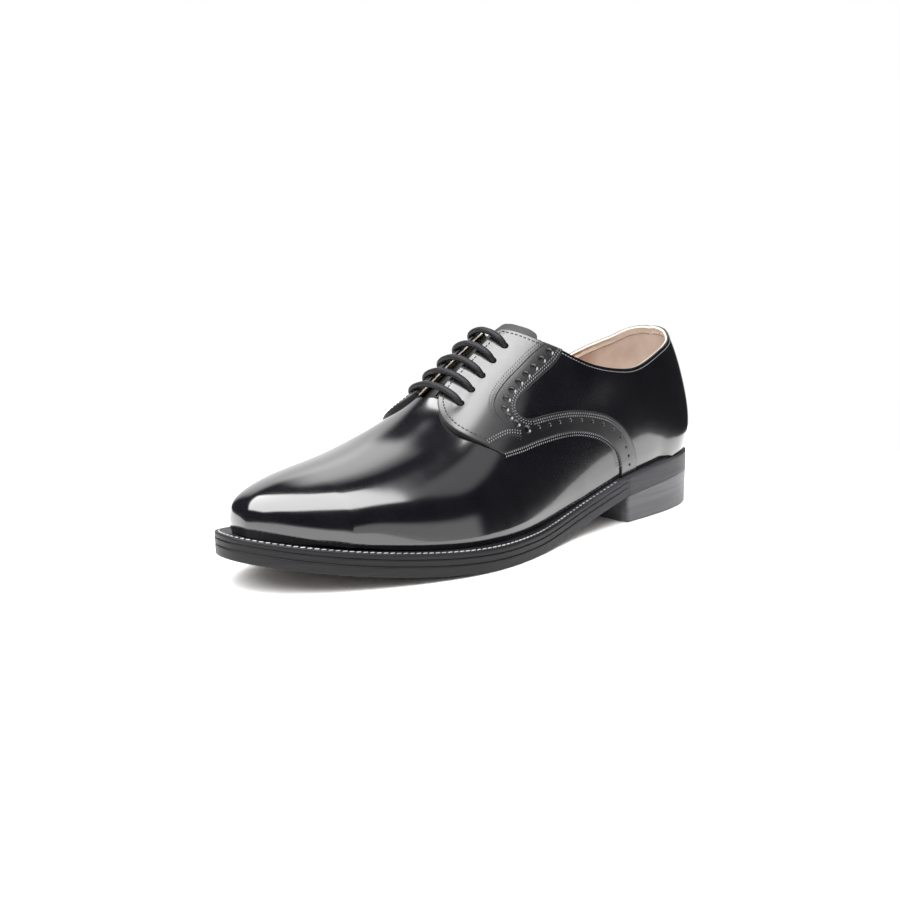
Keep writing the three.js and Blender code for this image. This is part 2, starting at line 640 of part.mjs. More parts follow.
// One bar: up through the outer hole, over the throat and down through the inner one.
const BAR_LEVEL = QUARTER_STEP + LACE_RADIUS + LACE_LIFT;
const BAR_STOPS = [
  { share: 0, level: LACE_RUN_LEVEL },
  { share: 0, level: -VAMP_WALL / 2 },
  { share: 0, level: QUARTER_STEP + 0.4 * LACE_RADIUS },
  { share: 0.04, level: QUARTER_STEP + 1.05 * LACE_RADIUS },
  { share: 0.11, level: BAR_LEVEL },
  { share: 0.34, level: BAR_LEVEL },
  { share: 0.5, level: BAR_LEVEL - LACE_LIFT / 2 },
];
function laceBar(hole) {
  const reach = 1 - 2 * hole.across;
  const backward = lasted(hole.along - 0.01, 0.5, 0).sub(lasted(hole.along + 0.01, 0.5, 0)).normalize();
  const half = BAR_STOPS.map((stop) => ({ across: hole.across + reach * stop.share, level: stop.level }));
  const other = half.slice(0, -1).reverse().map((stop) => ({ across: 1 - stop.across, level: stop.level }));
  const route = [...half, ...other].map((stop) => ({ ...stop, along: hole.along, side: backward }));
  return cord(route, LACE_RADIUS, LACE_RADIUS);
}

// The flat run under one facing, from the top hole to the bottom one.
const RUN_STEPS = 8;
function laceRun(holes) {
  const top = holes[0];
  const bottom = holes[holes.length - 1];
  const route = [];
  for (let i = 0; i <= RUN_STEPS; i += 1) {
    const share = i / RUN_STEPS;
    const along = THREE.MathUtils.lerp(top.along, bottom.along, share);
    const place = clamp(share * (holes.length - 1), 0, holes.length - 1 - 1e-9);
    const first = Math.floor(place);
    const across = THREE.MathUtils.lerp(holes[first].across, holes[first + 1].across, place - first);
    const side = lasted(along, across - 0.01, 0).sub(lasted(along, across + 0.01, 0)).normalize();
    route.push({ along, across, level: LACE_RUN_LEVEL, side });
  }
  return cord(route, LACE_RADIUS, LACE_FLAT / 2);
}

function laceGeometry() {
  let lace = laceRun(LACE_HOLES).add(laceRun(LACE_HOLES.map(mirrored)));
  for (const hole of LACE_HOLES) lace = lace.add(laceBar(hole));
  return toGeometry(lace);
}

// Colours and gloss
const blackLeather = new THREE.MeshStandardMaterial({ color: 0x17181c, roughness: 0.22, metalness: 0 });
const tongueLeather = new THREE.MeshStandardMaterial({ color: 0x1b1a1c, roughness: 0.45, metalness: 0 });
const edgeBlack = new THREE.MeshStandardMaterial({ color: 0x2a2a2e, roughness: 0.5, metalness: 0 });
const heelBlack = new THREE.MeshStandardMaterial({ color: 0x303034, roughness: 0.48, metalness: 0 });
const linen = new THREE.MeshStandardMaterial({ color: 0xcdb597, roughness: 0.7, metalness: 0 });
const laceCotton = new THREE.MeshStandardMaterial({ color: 0x3a3a40, roughness: 0.7, metalness: 0 });

const shoe = new THREE.Group();
function piece(name, geometry, material) {
  const mesh = new THREE.Mesh(geometry, material);
  mesh.name = name;
  shoe.add(mesh);
}

piece('outsole', toGeometry(outsoleSolid()), edgeBlack);
piece('midsole', toGeometry(midsoleSolid()), edgeBlack);
piece('welt', toGeometry(weltSolid()), edgeBlack);
piece('insole', toGeometry(insoleSolid()), linen);

const liftBottom = TOP_PIECE_THICKNESS + GAP;
const wedgeBottom = liftBottom + LIFT_THICKNESS + GAP;
piece('top_piece', toGeometry(heelLift(0, () => TOP_PIECE_THICKNESS)), heelBlack);
piece('heel_lift_1', toGeometry(heelLift(liftBottom, () => liftBottom + LIFT_THICKNESS)), heelBlack);
piece('heel_lift_2', toGeometry(heelLift(wedgeBottom, (x) => treadHeight(x) - GAP)), heelBlack);

piece('upper', upperGeometry(), blackLeather);
piece('tongue', tongueGeometry(), tongueLeather);
piece('lace', laceGeometry(), laceCotton);

// The origin is on the floor under the middle of the shoe's box.
const box = new THREE.Box3().setFromObject(shoe);
const centre = box.getCenter(new THREE.Vector3());
shoe.position.set(-centre.x, -centre.y, 0);
const group = new THREE.Group();
group.add(shoe);

export default group;
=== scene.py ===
"""Dresses the derby shoe's frame for the photograph: panels, seams, holes, stitches, lace, sole and light."""

import math

import bpy
import numpy as np
from mathutils import Matrix, Vector
from mathutils.geometry import delaunay_2d_cdt


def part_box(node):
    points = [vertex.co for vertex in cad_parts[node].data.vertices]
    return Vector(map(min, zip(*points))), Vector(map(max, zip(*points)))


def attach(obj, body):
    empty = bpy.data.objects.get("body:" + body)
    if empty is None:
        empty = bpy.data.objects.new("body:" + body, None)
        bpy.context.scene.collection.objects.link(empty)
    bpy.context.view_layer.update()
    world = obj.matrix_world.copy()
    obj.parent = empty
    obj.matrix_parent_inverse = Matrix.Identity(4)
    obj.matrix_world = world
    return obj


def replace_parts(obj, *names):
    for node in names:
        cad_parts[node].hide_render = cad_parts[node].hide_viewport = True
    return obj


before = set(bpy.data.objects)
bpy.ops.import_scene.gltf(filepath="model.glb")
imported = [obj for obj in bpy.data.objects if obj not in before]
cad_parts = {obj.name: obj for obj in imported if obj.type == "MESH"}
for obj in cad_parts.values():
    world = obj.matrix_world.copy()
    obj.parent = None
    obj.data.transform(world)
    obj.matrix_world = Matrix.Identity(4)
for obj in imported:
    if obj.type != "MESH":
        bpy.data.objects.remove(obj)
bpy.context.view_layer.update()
MM = 0.001

# Sizes of the sole, in millimetres, as in the part's source
SHOE_LENGTH = 302.0
BALL_WIDTH = 107.0
HEEL_WIDTH = 64.0
HEEL_LENGTH = 82.0
HEEL_STACK = 14.5
SEAT_RISE = 5.5
TOE_SPRING = 15.0
TREAD_BACK = 168.0
TREAD_FRONT = 180.0
OUTSOLE_THICKNESS = 5.1
MIDSOLE_THICKNESS = 2.9
WELT_THICKNESS = 2.4
WELT_REACH_FOREPART = 6.6
WELT_REACH_WAIST = 2.6
WELT_REACH_HEEL = 2.4
HEEL_TAPER = 0.8
BREAST_HOLLOW = 2.5
GAP = 0.3
UPPER_HEIGHT = 92.0
VAMP_WALL = 1.8
LACE_FLAT = 1.6
PACKAGE = OUTSOLE_THICKNESS + MIDSOLE_THICKNESS + WELT_THICKNESS + 2 * GAP

# Levels of the leather over the last's skin
QUARTER_LEVEL = 0.75
BAND_LEVEL = 1.05
FACING_LEVEL = 1.4
LINING_LEVEL = -1.7

# Sole edge: place along the shoe and its outer and inner side, as shares of length and width
SEAT_EDGE = [
    (0.0195, 0.276, -0.236), (0.064, 0.454, -0.418), (0.139, 0.545, -0.478), (0.232, 0.574, -0.459),
    (0.318, 0.577, -0.412),
]
FOREPART_EDGE = [
    (0.404, 0.357, -0.243), (0.49, 0.414, -0.299), (0.576, 0.479, -0.402), (0.662, 0.498, -0.492),
    (0.748, 0.442, -0.516), (0.828, 0.351, -0.484), (0.901, 0.243, -0.439), (0.959, 0.117, -0.364),
    (0.995, -0.019, -0.252),
]
HEEL_END = (0.0052, 0.02)
TOE_END = (1.0033, -0.121)

# Sections of the last: foot, crown, rise, lean, outer and inner bulge, outer and inner fullness, steepness
LAST_SECTIONS = [
    (0.132, 0.02, 0, 0.019, 0, 0, 0.96, 0.96, 0.96),
    (0.139, 0.008, 0.13, 0.019, 0.005, 0.009, 0.92, 0.92, 0.94),
    (0.146, 0.007, 0.292, 0.017, 0.011, 0.019, 0.88, 0.88, 0.92),
    (0.154, 0.028, 0.534, 0.011, 0.011, 0.023, 0.86, 0.86, 0.9),
    (0.162, 0.058, 0.789, 0.005, 0.007, 0.023, 0.85, 0.85, 0.9),
    (0.172, 0.109, 0.971, 0, 0.011, 0.028, 0.84, 0.84, 0.92),
    (0.189, 0.204, 1.025, -0.009, 0.037, 0.037, 0.84, 0.84, 0.94),
    (0.238, 0.289, 1.074, -0.033, 0.033, 0.042, 0.86, 0.84, 1),
    (0.305, 0.363, 1.106, -0.056, 0.028, 0.047, 0.88, 0.82, 1.04),
    (0.381, 0.434, 1.06, -0.079, 0.028, 0.056, 0.9, 0.8, 1.08),
    (0.457, 0.503, 0.943, -0.093, 0.019, 0.056, 0.92, 0.78, 1.1),
    (0.536, 0.573, 0.788, -0.103, 0.019, 0.047, 0.92, 0.8, 1.06),
    (0.616, 0.639, 0.628, -0.103, 0.019, 0.037, 0.92, 0.82, 1),
    (0.695, 0.711, 0.507, -0.103, 0.019, 0.037, 0.9, 0.82, 0.95),
    (0.765, 0.779, 0.429, -0.103, 0.019, 0.028, 0.88, 0.84, 0.92),
    (0.815, 0.842, 0.367, -0.112, 0.019, 0.023, 0.86, 0.84, 0.9),
    (0.831, 0.905, 0.297, -0.12, 0.014, 0.019, 0.86, 0.85, 0.9),
    (0.843, 0.951, 0.22, -0.12, 0.009, 0.009, 0.88, 0.88, 0.92),
    (0.851, 0.976, 0.143, -0.117, 0.005, 0.005, 0.9, 0.9, 0.94),
    (0.861, 0.978, 0, -0.112, 0, 0, 0.94, 0.94, 0.94),
]
SECTION_NODES = 9
NET_OVERSIZE = 1.02
OUTLINE_POINTS = 720

# Lines of the flat pattern for the outer side: along from heel to toe, across from the outer feather line
TOPLINE = [
    (0.205, 0.5), (0.212, 0.4), (0.226, 0.31), (0.25, 0.255), (0.28, 0.222), (0.315, 0.2), (0.344, 0.193),
    (0.37, 0.2), (0.395, 0.215), (0.415, 0.235), (0.432, 0.262), (0.446, 0.292), (0.462, 0.325),
]
FACING_TOP = [(0.462, 0.325), (0.475, 0.37), (0.486, 0.42), (0.491, 0.446), (0.499, 0.4545)]
THROAT = [(0.499, 0.4545), (0.53, 0.455), (0.56, 0.455), (0.586, 0.455)]
FACING_FRONT = [
    (0.586, 0.455), (0.604, 0.44), (0.616, 0.412), (0.624, 0.372), (0.6245, 0.323), (0.616, 0.275),
    (0.603, 0.232),
]
FACING_FOOT = [(0.603, 0.232), (0.585, 0.226), (0.568, 0.217), (0.553, 0.198)]
FACING_BACK = [
    (0.553, 0.198), (0.562, 0.216), (0.567, 0.24), (0.57, 0.268), (0.569, 0.288), (0.562, 0.305),
    (0.548, 0.315), (0.53, 0.3195), (0.506, 0.321), (0.483, 0.324), (0.462, 0.325),
]
BAND_BACK = [
    (0.444, 0.286), (0.462, 0.274), (0.487, 0.27), (0.512, 0.269), (0.53, 0.266), (0.54, 0.255),
    (0.542, 0.24), (0.537, 0.222), (0.528, 0.209),
]
BAND_UPPER = [
    (0.528, 0.209), (0.5, 0.192), (0.465, 0.169), (0.429, 0.14), (0.405, 0.117), (0.383, 0.083),
    (0.37, 0.048), (0.367, 0.022), (0.367, 0.004),
]
QUARTER_LOWER = [
    (0.4, 0.004), (0.4, 0.022), (0.402, 0.048), (0.414, 0.077), (0.438, 0.107), (0.475, 0.138),
    (0.525, 0.165), (0.56, 0.18), (0.5895, 0.196),
]
CORNER_FRONT = [(0.5895, 0.196), (0.596, 0.214), (0.603, 0.232)]
LACE_HOLES = [(0.505, 0.395), (0.529, 0.388), (0.552, 0.38), (0.574, 0.374), (0.596, 0.37)]
LARGE_PUNCHES = [
    (0.461, 0.301), (0.476, 0.297), (0.491, 0.2945), (0.505, 0.2935), (0.519, 0.2925), (0.533, 0.29),
    (0.546, 0.284), (0.5555, 0.27), (0.556, 0.249), (0.551, 0.226), (0.54, 0.2),
]
SMALL_PUNCHES = [
    (0.522, 0.187), (0.505, 0.176), (0.489, 0.167), (0.472, 0.157), (0.455, 0.144), (0.438, 0.129),
    (0.421, 0.113), (0.405, 0.095), (0.393, 0.075), (0.386, 0.053), (0.383, 0.035), (0.383, 0.018),
]
TONGUE_OUTLINE = [
    (0.655, 0.5), (0.65, 0.44), (0.62, 0.405), (0.56, 0.385), (0.5, 0.355), (0.47, 0.345), (0.457, 0.362),
    (0.458, 0.39), (0.465, 0.44), (0.468, 0.5),
]


# Sole
def tread_height(x):
    """Height of the outsole's underside along the shoe."""
    x = np.asarray(x, float)
    arch = np.clip((TREAD_BACK - x) / (TREAD_BACK - HEEL_LENGTH), 0, 1)
    seat = np.maximum(0, (HEEL_LENGTH - x) / HEEL_LENGTH)
    toe = np.maximum(0, (x - TREAD_FRONT) / (SHOE_LENGTH - TREAD_FRONT))
    heel_rise = HEEL_STACK * (1.5 * arch**2 - 0.5 * arch**3)
    seat_rise = SEAT_RISE * (1 - np.exp(-1.5 * seat)) / (1 - math.exp(-1.5))
    return heel_rise + seat_rise + TOE_SPRING * toe**1.9


def feather_height(x):
    return tread_height(x) + PACKAGE


def spline_weights(t):
    rows = [(1 - t) ** 3, 3 * t**3 - 6 * t**2 + 4, -3 * t**3 + 3 * t**2 + 3 * t + 1, t**3]
    return np.stack(rows, -1) / 6


def sole_loop():
    """The sole's edge as a closed smooth loop, from the heel along the outer side to the toe and back."""
    rows = [(x, o * HEEL_WIDTH, i * HEEL_WIDTH) for x, o, i in SEAT_EDGE]
    rows += [(x, o * BALL_WIDTH, i * BALL_WIDTH) for x, o, i in FOREPART_EDGE]
    outer = [(x * SHOE_LENGTH, o) for x, o, _ in rows]
    inner = [(x * SHOE_LENGTH, i) for x, _, i in rows]
    heel = (HEEL_END[0] * SHOE_LENGTH, HEEL_END[1] * HEEL_WIDTH)
    toe = (TOE_END[0] * SHOE_LENGTH, TOE_END[1] * BALL_WIDTH)
    control = np.array([heel, *outer, toe, *inner[::-1]])
    place = np.arange(OUTLINE_POINTS) / OUTLINE_POINTS * len(control)
    first = np.floor(place).astype(int)
    weights = spline_weights(place - first)
    index = (first[:, None] + np.arange(-1, 3)) % len(control)
    return np.einsum("nk,nkc->nc", weights, control[index])


def inset(loop, distance):
    run = np.roll(loop, -1, 0) - np.roll(loop, 1, 0)
    run /= np.linalg.norm(run, axis=1)[:, None]
    distance = np.broadcast_to(distance, len(loop))[:, None]
    return loop + distance * np.stack([run[:, 1], -run[:, 0]], 1)


def welt_reach(x):
    waist = HEEL_LENGTH + 0.38 * (TREAD_BACK - HEEL_LENGTH)
    to_heel = np.clip((waist - x) / (waist - 0.85 * HEEL_LENGTH), 0, 1)
    to_ball = np.clip((x - waist) / (TREAD_FRONT + 10 - waist), 0, 1)
    forward = WELT_REACH_WAIST + (WELT_REACH_FOREPART - WELT_REACH_WAIST) * to_ball
    return forward + (WELT_REACH_HEEL - WELT_REACH_WAIST) * to_heel


def edges_at(loop, x):
    """Outer and inner side of a loop at places along the shoe."""
    start = int(np.argmin(loop[:, 0]))
    loop = np.roll(loop, -start, 0)
    tip = int(np.argmax(loop[:, 0]))
    one = loop[: tip + 1]
    other = np.vstack([loop[tip:], loop[:1]])[::-1]
    first = np.interp(x, one[:, 0], one[:, 1])
    second = np.interp(x, other[:, 0], other[:, 1])
    return np.maximum(first, second), np.minimum(first, second)


SOLE_EDGE = sole_loop()
FEATHER = inset(SOLE_EDGE, welt_reach(SOLE_EDGE[:, 0]))

outsole_low, outsole_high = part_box("outsole")
SHIFT = np.array([
    (outsole_low.x + outsole_high.x) / 2 / MM - (SOLE_EDGE[:, 0].min() + SOLE_EDGE[:, 0].max()) / 2,
    (outsole_low.y + outsole_high.y) / 2 / MM - (SOLE_EDGE[:, 1].min() + SOLE_EDGE[:, 1].max()) / 2,
    0.0,
])


# Last
def section_row(section):
    foot, crown, rise, lean, bulge_out, bulge_in, full_out, full_in, steep = section
    foot_x = foot * SHOE_LENGTH
    crown_x = crown * SHOE_LENGTH
    foot_z = feather_height(foot_x)
    crown_z = feather_height(crown_x) + rise * UPPER_HEIGHT
    outer, inner = edges_at(FEATHER, foot_x)
    middle = (outer + inner) / 2
    half = (outer - inner) / 2
    row = []
    for j in range(SECTION_NODES):
        angle = math.pi * j / (SECTION_NODES - 1)
        at_foot = j in (0, SECTION_NODES - 1)
        full, bulge = (full_out, bulge_out) if math.cos(angle) >= 0 else (full_in, bulge_in)
        grow = 1 if at_foot else NET_OVERSIZE
        up = 0 if at_foot else math.sin(angle) ** steep
        side = half * abs(math.cos(angle)) ** full * math.copysign(1, math.cos(angle))
        swell = bulge * BALL_WIDTH * math.sin(2 * angle)
        row.append((
            foot_x + (crown_x - foot_x) * up * grow,
            middle + (side + swell) * grow + (lean * BALL_WIDTH - middle) * up**1.5,
            foot_z + (crown_z - foot_z) * up * grow,
        ))
    return row


NET = np.array([section_row(section) for section in LAST_SECTIONS])


def spline_rows(t, count):
    """Weights of an open cubic B-spline whose ends reach the end values, one row for each place."""
    place = np.clip(t, 0, 1) * (count - 1)
    first = np.minimum(np.floor(place).astype(int), count - 2)
    weights = spline_weights(place - first)
    rows = np.zeros((len(place), count + 2))
    for k in range(4):
        np.add.at(rows, (np.arange(len(place)), first + k), weights[:, k])
    rows[:, 1] += 2 * rows[:, 0]
    rows[:, 2] -= rows[:, 0]
    rows[:, -2] += 2 * rows[:, -1]
    rows[:, -3] -= rows[:, -1]
    return rows[:, 1:-1]


def net_point(along, across):
    return np.einsum("ni,nj,ijc->nc", spline_rows(along, len(NET)), spline_rows(across, SECTION_NODES), NET)


TOE_RIDGE = -0.11 * BALL_WIDTH
RIDGE_BLEND = 24.0


def draw_in_table():
    """How far each millimetre of the toe is drawn in, on each side, to meet the feather line."""
    share = np.linspace(0, 1, OUTLINE_POINTS + 1)
    line = np.vstack([
        net_point(share, 0 * share),
        net_point(0 * share + 1, share)[1:],
        net_point(share, 0 * share + 1)[::-1],
    ])[:, :2]
    x = np.arange(0, SHOE_LENGTH + 1.5)
    place = np.clip(x, HEEL_LENGTH, line[:, 0].max() - 0.6)
    own = edges_at(line, place)
    wanted = edges_at(FEATHER, place)
    return [(w - TOE_RIDGE) / (o - TOE_RIDGE) for w, o in zip(wanted, own)]


DRAW_SMOOTHING = 9.0
DRAW_DELAY = 4
DRAW_BLEND = 0.3
DRAW_REACH = 36


def smoothed(ratios):
    """A table with one value for each millimetre, without its sharp bends."""
    reach = np.arange(-DRAW_REACH, DRAW_REACH + 1)
    weights = np.exp(-0.5 * (reach / DRAW_SMOOTHING) ** 2)
    padded = np.pad(ratios, (DRAW_REACH + DRAW_DELAY, DRAW_REACH), mode="edge")
    return np.convolve(padded, weights / weights.sum(), mode="valid")[: len(ratios)]


DRAW_AT_FOOT = draw_in_table()
DRAW_ABOVE = [smoothed(ratios) for ratios in DRAW_AT_FOOT]


def drawn_y(point, near_foot):
    """The sideways place of a point. The draw-in follows the feather line exactly only near the foot."""
    millimetres = np.arange(len(DRAW_AT_FOOT[0]))
    outer, inner = (
        np.interp(point[:, 0], millimetres, above) * (1 - near_foot)
        + np.interp(point[:, 0], millimetres, at_foot) * near_foot
        for above, at_foot in zip(DRAW_ABOVE, DRAW_AT_FOOT)
    )
    from_ridge = point[:, 1] - TOE_RIDGE
    t = np.clip(from_ridge / RIDGE_BLEND + 0.5, 0, 1)
    side = t * t * (3 - 2 * t)
    return TOE_RIDGE + from_ridge * (inner + (outer - inner) * side)


FOOT_BLEND = 0.1


def edge_share(along, across):
    """Distance of places from the nearest edge of the pattern, the feather line."""
    return np.minimum(np.minimum(across, 1 - across), np.minimum(along, 1 - along))


def skin_point(along, across):
    point = net_point(along, across)
    near_side = np.maximum(0, 1 - np.minimum(across, 1 - across) / FOOT_BLEND) ** 2
    near_end = np.maximum(0, 1 - np.minimum(along, 1 - along) / FOOT_BLEND) ** 2
    side_foot = net_point(along, np.round(across))
    end_foot = net_point(np.round(along), across)
    side_lift = feather_height(side_foot[:, 0]) + GAP - side_foot[:, 2]
    end_lift = feather_height(end_foot[:, 0]) + GAP - end_foot[:, 2]
    total = near_side + near_end
    weight = 1 / np.maximum(1, total)
    rest = 1 - np.minimum(1, total)
    point[:, 2] += (side_lift * near_side + end_lift * near_end) * weight + GAP * rest
    edge = edge_share(along, across)
    point[:, 1] = drawn_y(point, np.clip(1 - edge / DRAW_BLEND, 0, 1) ** 1.5)
    return point


NORMAL_STEP = 0.004
CORNER = 0.012
LEVEL_BLEND = 0.05


def unit(vectors):
    return vectors / np.maximum(np.linalg.norm(vectors, axis=-1), 1e-9)[..., None]


def run_length(points):
    """The length along a line up to each of its points."""
    return np.concatenate([[0], np.cumsum(np.linalg.norm(np.diff(points, axis=0), axis=1))])


def skin_normal(along, across):
    a = np.clip(along, CORNER, 1 - CORNER)
    c = np.clip(across, CORNER, 1 - CORNER)
    forward = skin_point(a + NORMAL_STEP, c) - skin_point(a - NORMAL_STEP, c)
    sideways = skin_point(a, c - NORMAL_STEP) - skin_point(a, c + NORMAL_STEP)
    normal = unit(np.cross(forward, sideways))
    edge = edge_share(along, across)
    normal[:, 2] *= np.clip(edge / LEVEL_BLEND, 0, 1)
    return unit(normal)


def lasted(along, across, height):
    """Points at a height over the skin. Near the feather line they keep their distance over the sole."""
    along = np.asarray(along, float)
    across = np.asarray(across, float)
    skin = skin_point(along, across)
    point = skin + skin_normal(along, across) * np.broadcast_to(height, len(skin))[:, None]
    edge = edge_share(along, across)
    near_foot = 1 - np.clip(edge / LEVEL_BLEND, 0, 1)
    point[:, 2] += near_foot * (feather_height(point[:, 0]) - feather_height(skin[:, 0]))
    return point


# Pattern plane
PATTERN_LENGTH = 300.0
PATTERN_GIRTH = 250.0


def to_plane(places):
    places = np.asarray(places, float)
    return np.stack([places[:, 0] * PATTERN_LENGTH, (1 - places[:, 1]) * PATTERN_GIRTH], 1)


def from_plane(points):
    return np.stack([points[:, 0] / PATTERN_LENGTH, 1 - points[:, 1] / PATTERN_GIRTH], 1)


def mirrored(places):
    places = np.array(places, float)
    places[:, 1] = 1 - places[:, 1]
    return places


def curve_through(points, step, least=1):
    """Points about every step along a smooth curve through others, with at least so many to a stretch."""
    points = np.asarray(points, float)
    ends = np.vstack([2 * points[0] - points[1], points, 2 * points[-1] - points[-2]])
    line = []
    for p0, p1, p2, p3 in zip(ends, ends[1:], ends[2:], ends[3:]):
        count = max(least, round(np.linalg.norm(p2 - p1) / step))
        t = np.arange(count)[:, None] / count
        line.append(
            (2 * t**3 - 3 * t**2 + 1) * p1
            + (t**3 - 2 * t**2 + t) * (p2 - p0) / 2
            + (-2 * t**3 + 3 * t**2) * p2
            + (t**3 - t**2) * (p3 - p1) / 2
        )
    return np.vstack([*line, points[-1:]])


def smooth(rows, step=1.3):
    """A smooth line through the rows of a table, with a point about every step millimetres."""
    return from_plane(curve_through(to_plane(rows), step))


def joined(*lines):
    """Lines set end to end, without the points that they share."""
    places = np.vstack(lines)
    plane = to_plane(places)
    keep = np.ones(len(places), bool)
    keep[1:] = np.linalg.norm(np.diff(plane, axis=0), axis=1) > 0.05
    places = places[keep]
    if np.linalg.norm(to_plane(places[:1]) - to_plane(places[-1:])) < 0.05:
        places = places[:-1]
    return places


def turning(places):
    """Twice the signed area of a closed line in the pattern plane: positive if it runs anticlockwise."""
    plane = to_plane(places)
    after = np.roll(plane, -1, 0)
    return float((plane[:, 0] * after[:, 1] - after[:, 0] * plane[:, 1]).sum())


def anticlockwise(places):
    return places if turning(places) > 0 else places[::-1]


def metric(places):
    """Stretch of the skin at some places: forward, skew and sideways millimetres for one unit."""
    step = 0.004
    along = np.clip(places[:, 0], 0.02, 0.98)
    across = np.clip(places[:, 1], 0.02, 0.98)
    along_run = (skin_point(along + step, across) - skin_point(along - step, across)) / (2 * step)
    across_run = (skin_point(along, across + step) - skin_point(along, across - step)) / (2 * step)
    forward = np.linalg.norm(along_run, axis=1)
    ahead = along_run / forward[:, None]
    skew = (across_run * ahead).sum(1)
    square = np.linalg.norm(across_run - ahead * skew[:, None], axis=1)
    return forward, skew, square


def moved(places, forward_mm, sideways_mm, stretch=None):
    """Places that lie some millimetres forward and sideways of others on the skin."""
    forward, skew, square = metric(places) if stretch is None else stretch
    across = sideways_mm / square
    along = (forward_mm - skew * across) / forward
    return places + np.stack([along, across], 1)


def right_of(places, closed):
    """Unit steps on the skin to the right-hand side of a line, as forward and sideways."""
    forward, skew, square = metric(places)
    if closed:
        run = np.roll(places, -1, 0) - np.roll(places, 1, 0)
    else:
        run = np.gradient(places, axis=0)
    ahead = forward * run[:, 0] + skew * run[:, 1]
    aside = square * run[:, 1]
    size = np.hypot(ahead, aside)
    return -aside / size, ahead / size, (forward, skew, square)


def offset(places, distance, closed=False):
    """A line moved to its right-hand side by a distance in millimetres."""
    ahead, aside, stretch = right_of(places, closed)
    return moved(places, ahead * distance, aside * distance, stretch)


def inside(points, outline):
    """Which points of the pattern plane lie inside a closed line."""
    hit = np.zeros(len(points), bool)
    after = np.roll(outline, -1, 0)
    for (ax, ay), (bx, by) in zip(outline, after):
        crosses = (ay > points[:, 1]) != (by > points[:, 1])
        if crosses.any():
            at = ax + (bx - ax) * (points[:, 1] - ay) / (by - ay if by != ay else 1e-12)
            hit ^= crosses & (points[:, 0] < at)
    return hit


# Meshes
def in_scene(name, data):
    piece = bpy.data.objects.new(name, data)
    bpy.context.scene.collection.objects.link(piece)
    return piece


def mesh_object(name, points, faces, material, normals=None):
    """A smooth mesh from points in millimetres of the last's frame; it rides on the shoe."""
    mesh = bpy.data.meshes.new(name)
    mesh.from_pydata(((np.asarray(points) + SHIFT) * MM).tolist(), [], [list(map(int, f)) for f in faces])
    mesh.validate()
    mesh.shade_smooth()
    if normals is not None:
        mesh.normals_split_custom_set_from_vertices(normals.tolist())
    mesh.materials.append(material)
    piece = in_scene(name, mesh)
    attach(piece, "root")
    return piece


def surface_normals(along, across, level):
    """Normals of the surface at a level that may change from place to place."""
    step = 0.0012
    a = np.clip(along, CORNER, 1 - CORNER)
    c = np.clip(across, 0.002, 0.998)
    forward = lasted(a + step, c, level(a + step, c)) - lasted(a - step, c, level(a - step, c))
    sideways = lasted(a, c - step, level(a, c - step)) - lasted(a, c + step, level(a, c + step))
    return unit(np.cross(forward, sideways))


def fill(outline, holes=(), spacing=2.0):
    """Triangles that fill a closed line of places, but not its holes: the places and the faces."""
    outline = anticlockwise(outline)
    loops = [to_plane(outline)] + [to_plane(hole) for hole in holes]
    low = loops[0].min(0)
    high = loops[0].max(0)
    xs = np.arange(low[0], high[0], spacing)
    ys = np.arange(low[1], high[1], spacing * 0.87)
    grid_x, grid_y = np.meshgrid(xs, ys)
    grid_x[1::2] += spacing / 2
    grid = np.stack([grid_x.ravel(), grid_y.ravel()], 1)
    keep = inside(grid, loops[0])
    for loop in loops[1:]:
        keep &= ~inside(grid, loop)
    grid = grid[keep]
    border = np.vstack(loops)
    near = np.full(len(grid), np.inf)
    for start in range(0, len(border), 64):
        part = border[start : start + 64]
        gaps = np.linalg.norm(grid[:, None] - part[None], axis=2).min(1)
        near = np.minimum(near, gaps)
    grid = grid[near > spacing * 0.55]
    edges = []
    first = 0
    for loop in loops:
        count = len(loop)
        edges += [(first + i, first + (i + 1) % count) for i in range(count)]
        first += count
    points = [Vector(p) for p in np.vstack([border, grid]).tolist()]
    found = delaunay_2d_cdt(points, edges, [], 0, 1e-5)
    plane = np.array([tuple(p) for p in found[0]])
    faces = np.array([f for f in found[2] if len(f) == 3])
    middle = plane[faces].mean(1)
    keep = inside(middle, loops[0])
    for loop in loops[1:]:
        keep &= ~inside(middle, loop)
    return from_plane(plane), faces[keep]


def strip_faces(rows, columns, closed):
    """Quads between rows of points, for rows that lie to the right of one another."""
    faces = []
    for r in range(rows - 1):
        for i in range(columns if closed else columns - 1):
            j = (i + 1) % columns
            faces.append((r * columns + i, (r + 1) * columns + i, (r + 1) * columns + j, r * columns + j))
    return faces


def tube_faces(rings, sides):
    """Faces of a closed tube: its wall and its two ends."""
    last = (rings - 1) * sides
    ends = [tuple(range(sides)), tuple(last + k for k in reversed(range(sides)))]
    return strip_faces(rings, sides, True) + ends


class Gathered:
    """Shapes gathered into one mesh."""

    def __init__(self):
        self.points = []
        self.faces = []
        self.normals = []
        self.count = 0

    def add(self, points, faces, normals=None):
        self.points.append(points)
        self.faces += [[int(i) + self.count for i in f] for f in faces]
        self.count += len(points)
        if normals is not None:
            self.normals.append(normals)

    def build(self, name, material, slot):
        normals = np.vstack(self.normals) if self.normals else None
        return mesh_object(name, np.vstack(self.points), self.faces, material, normals)


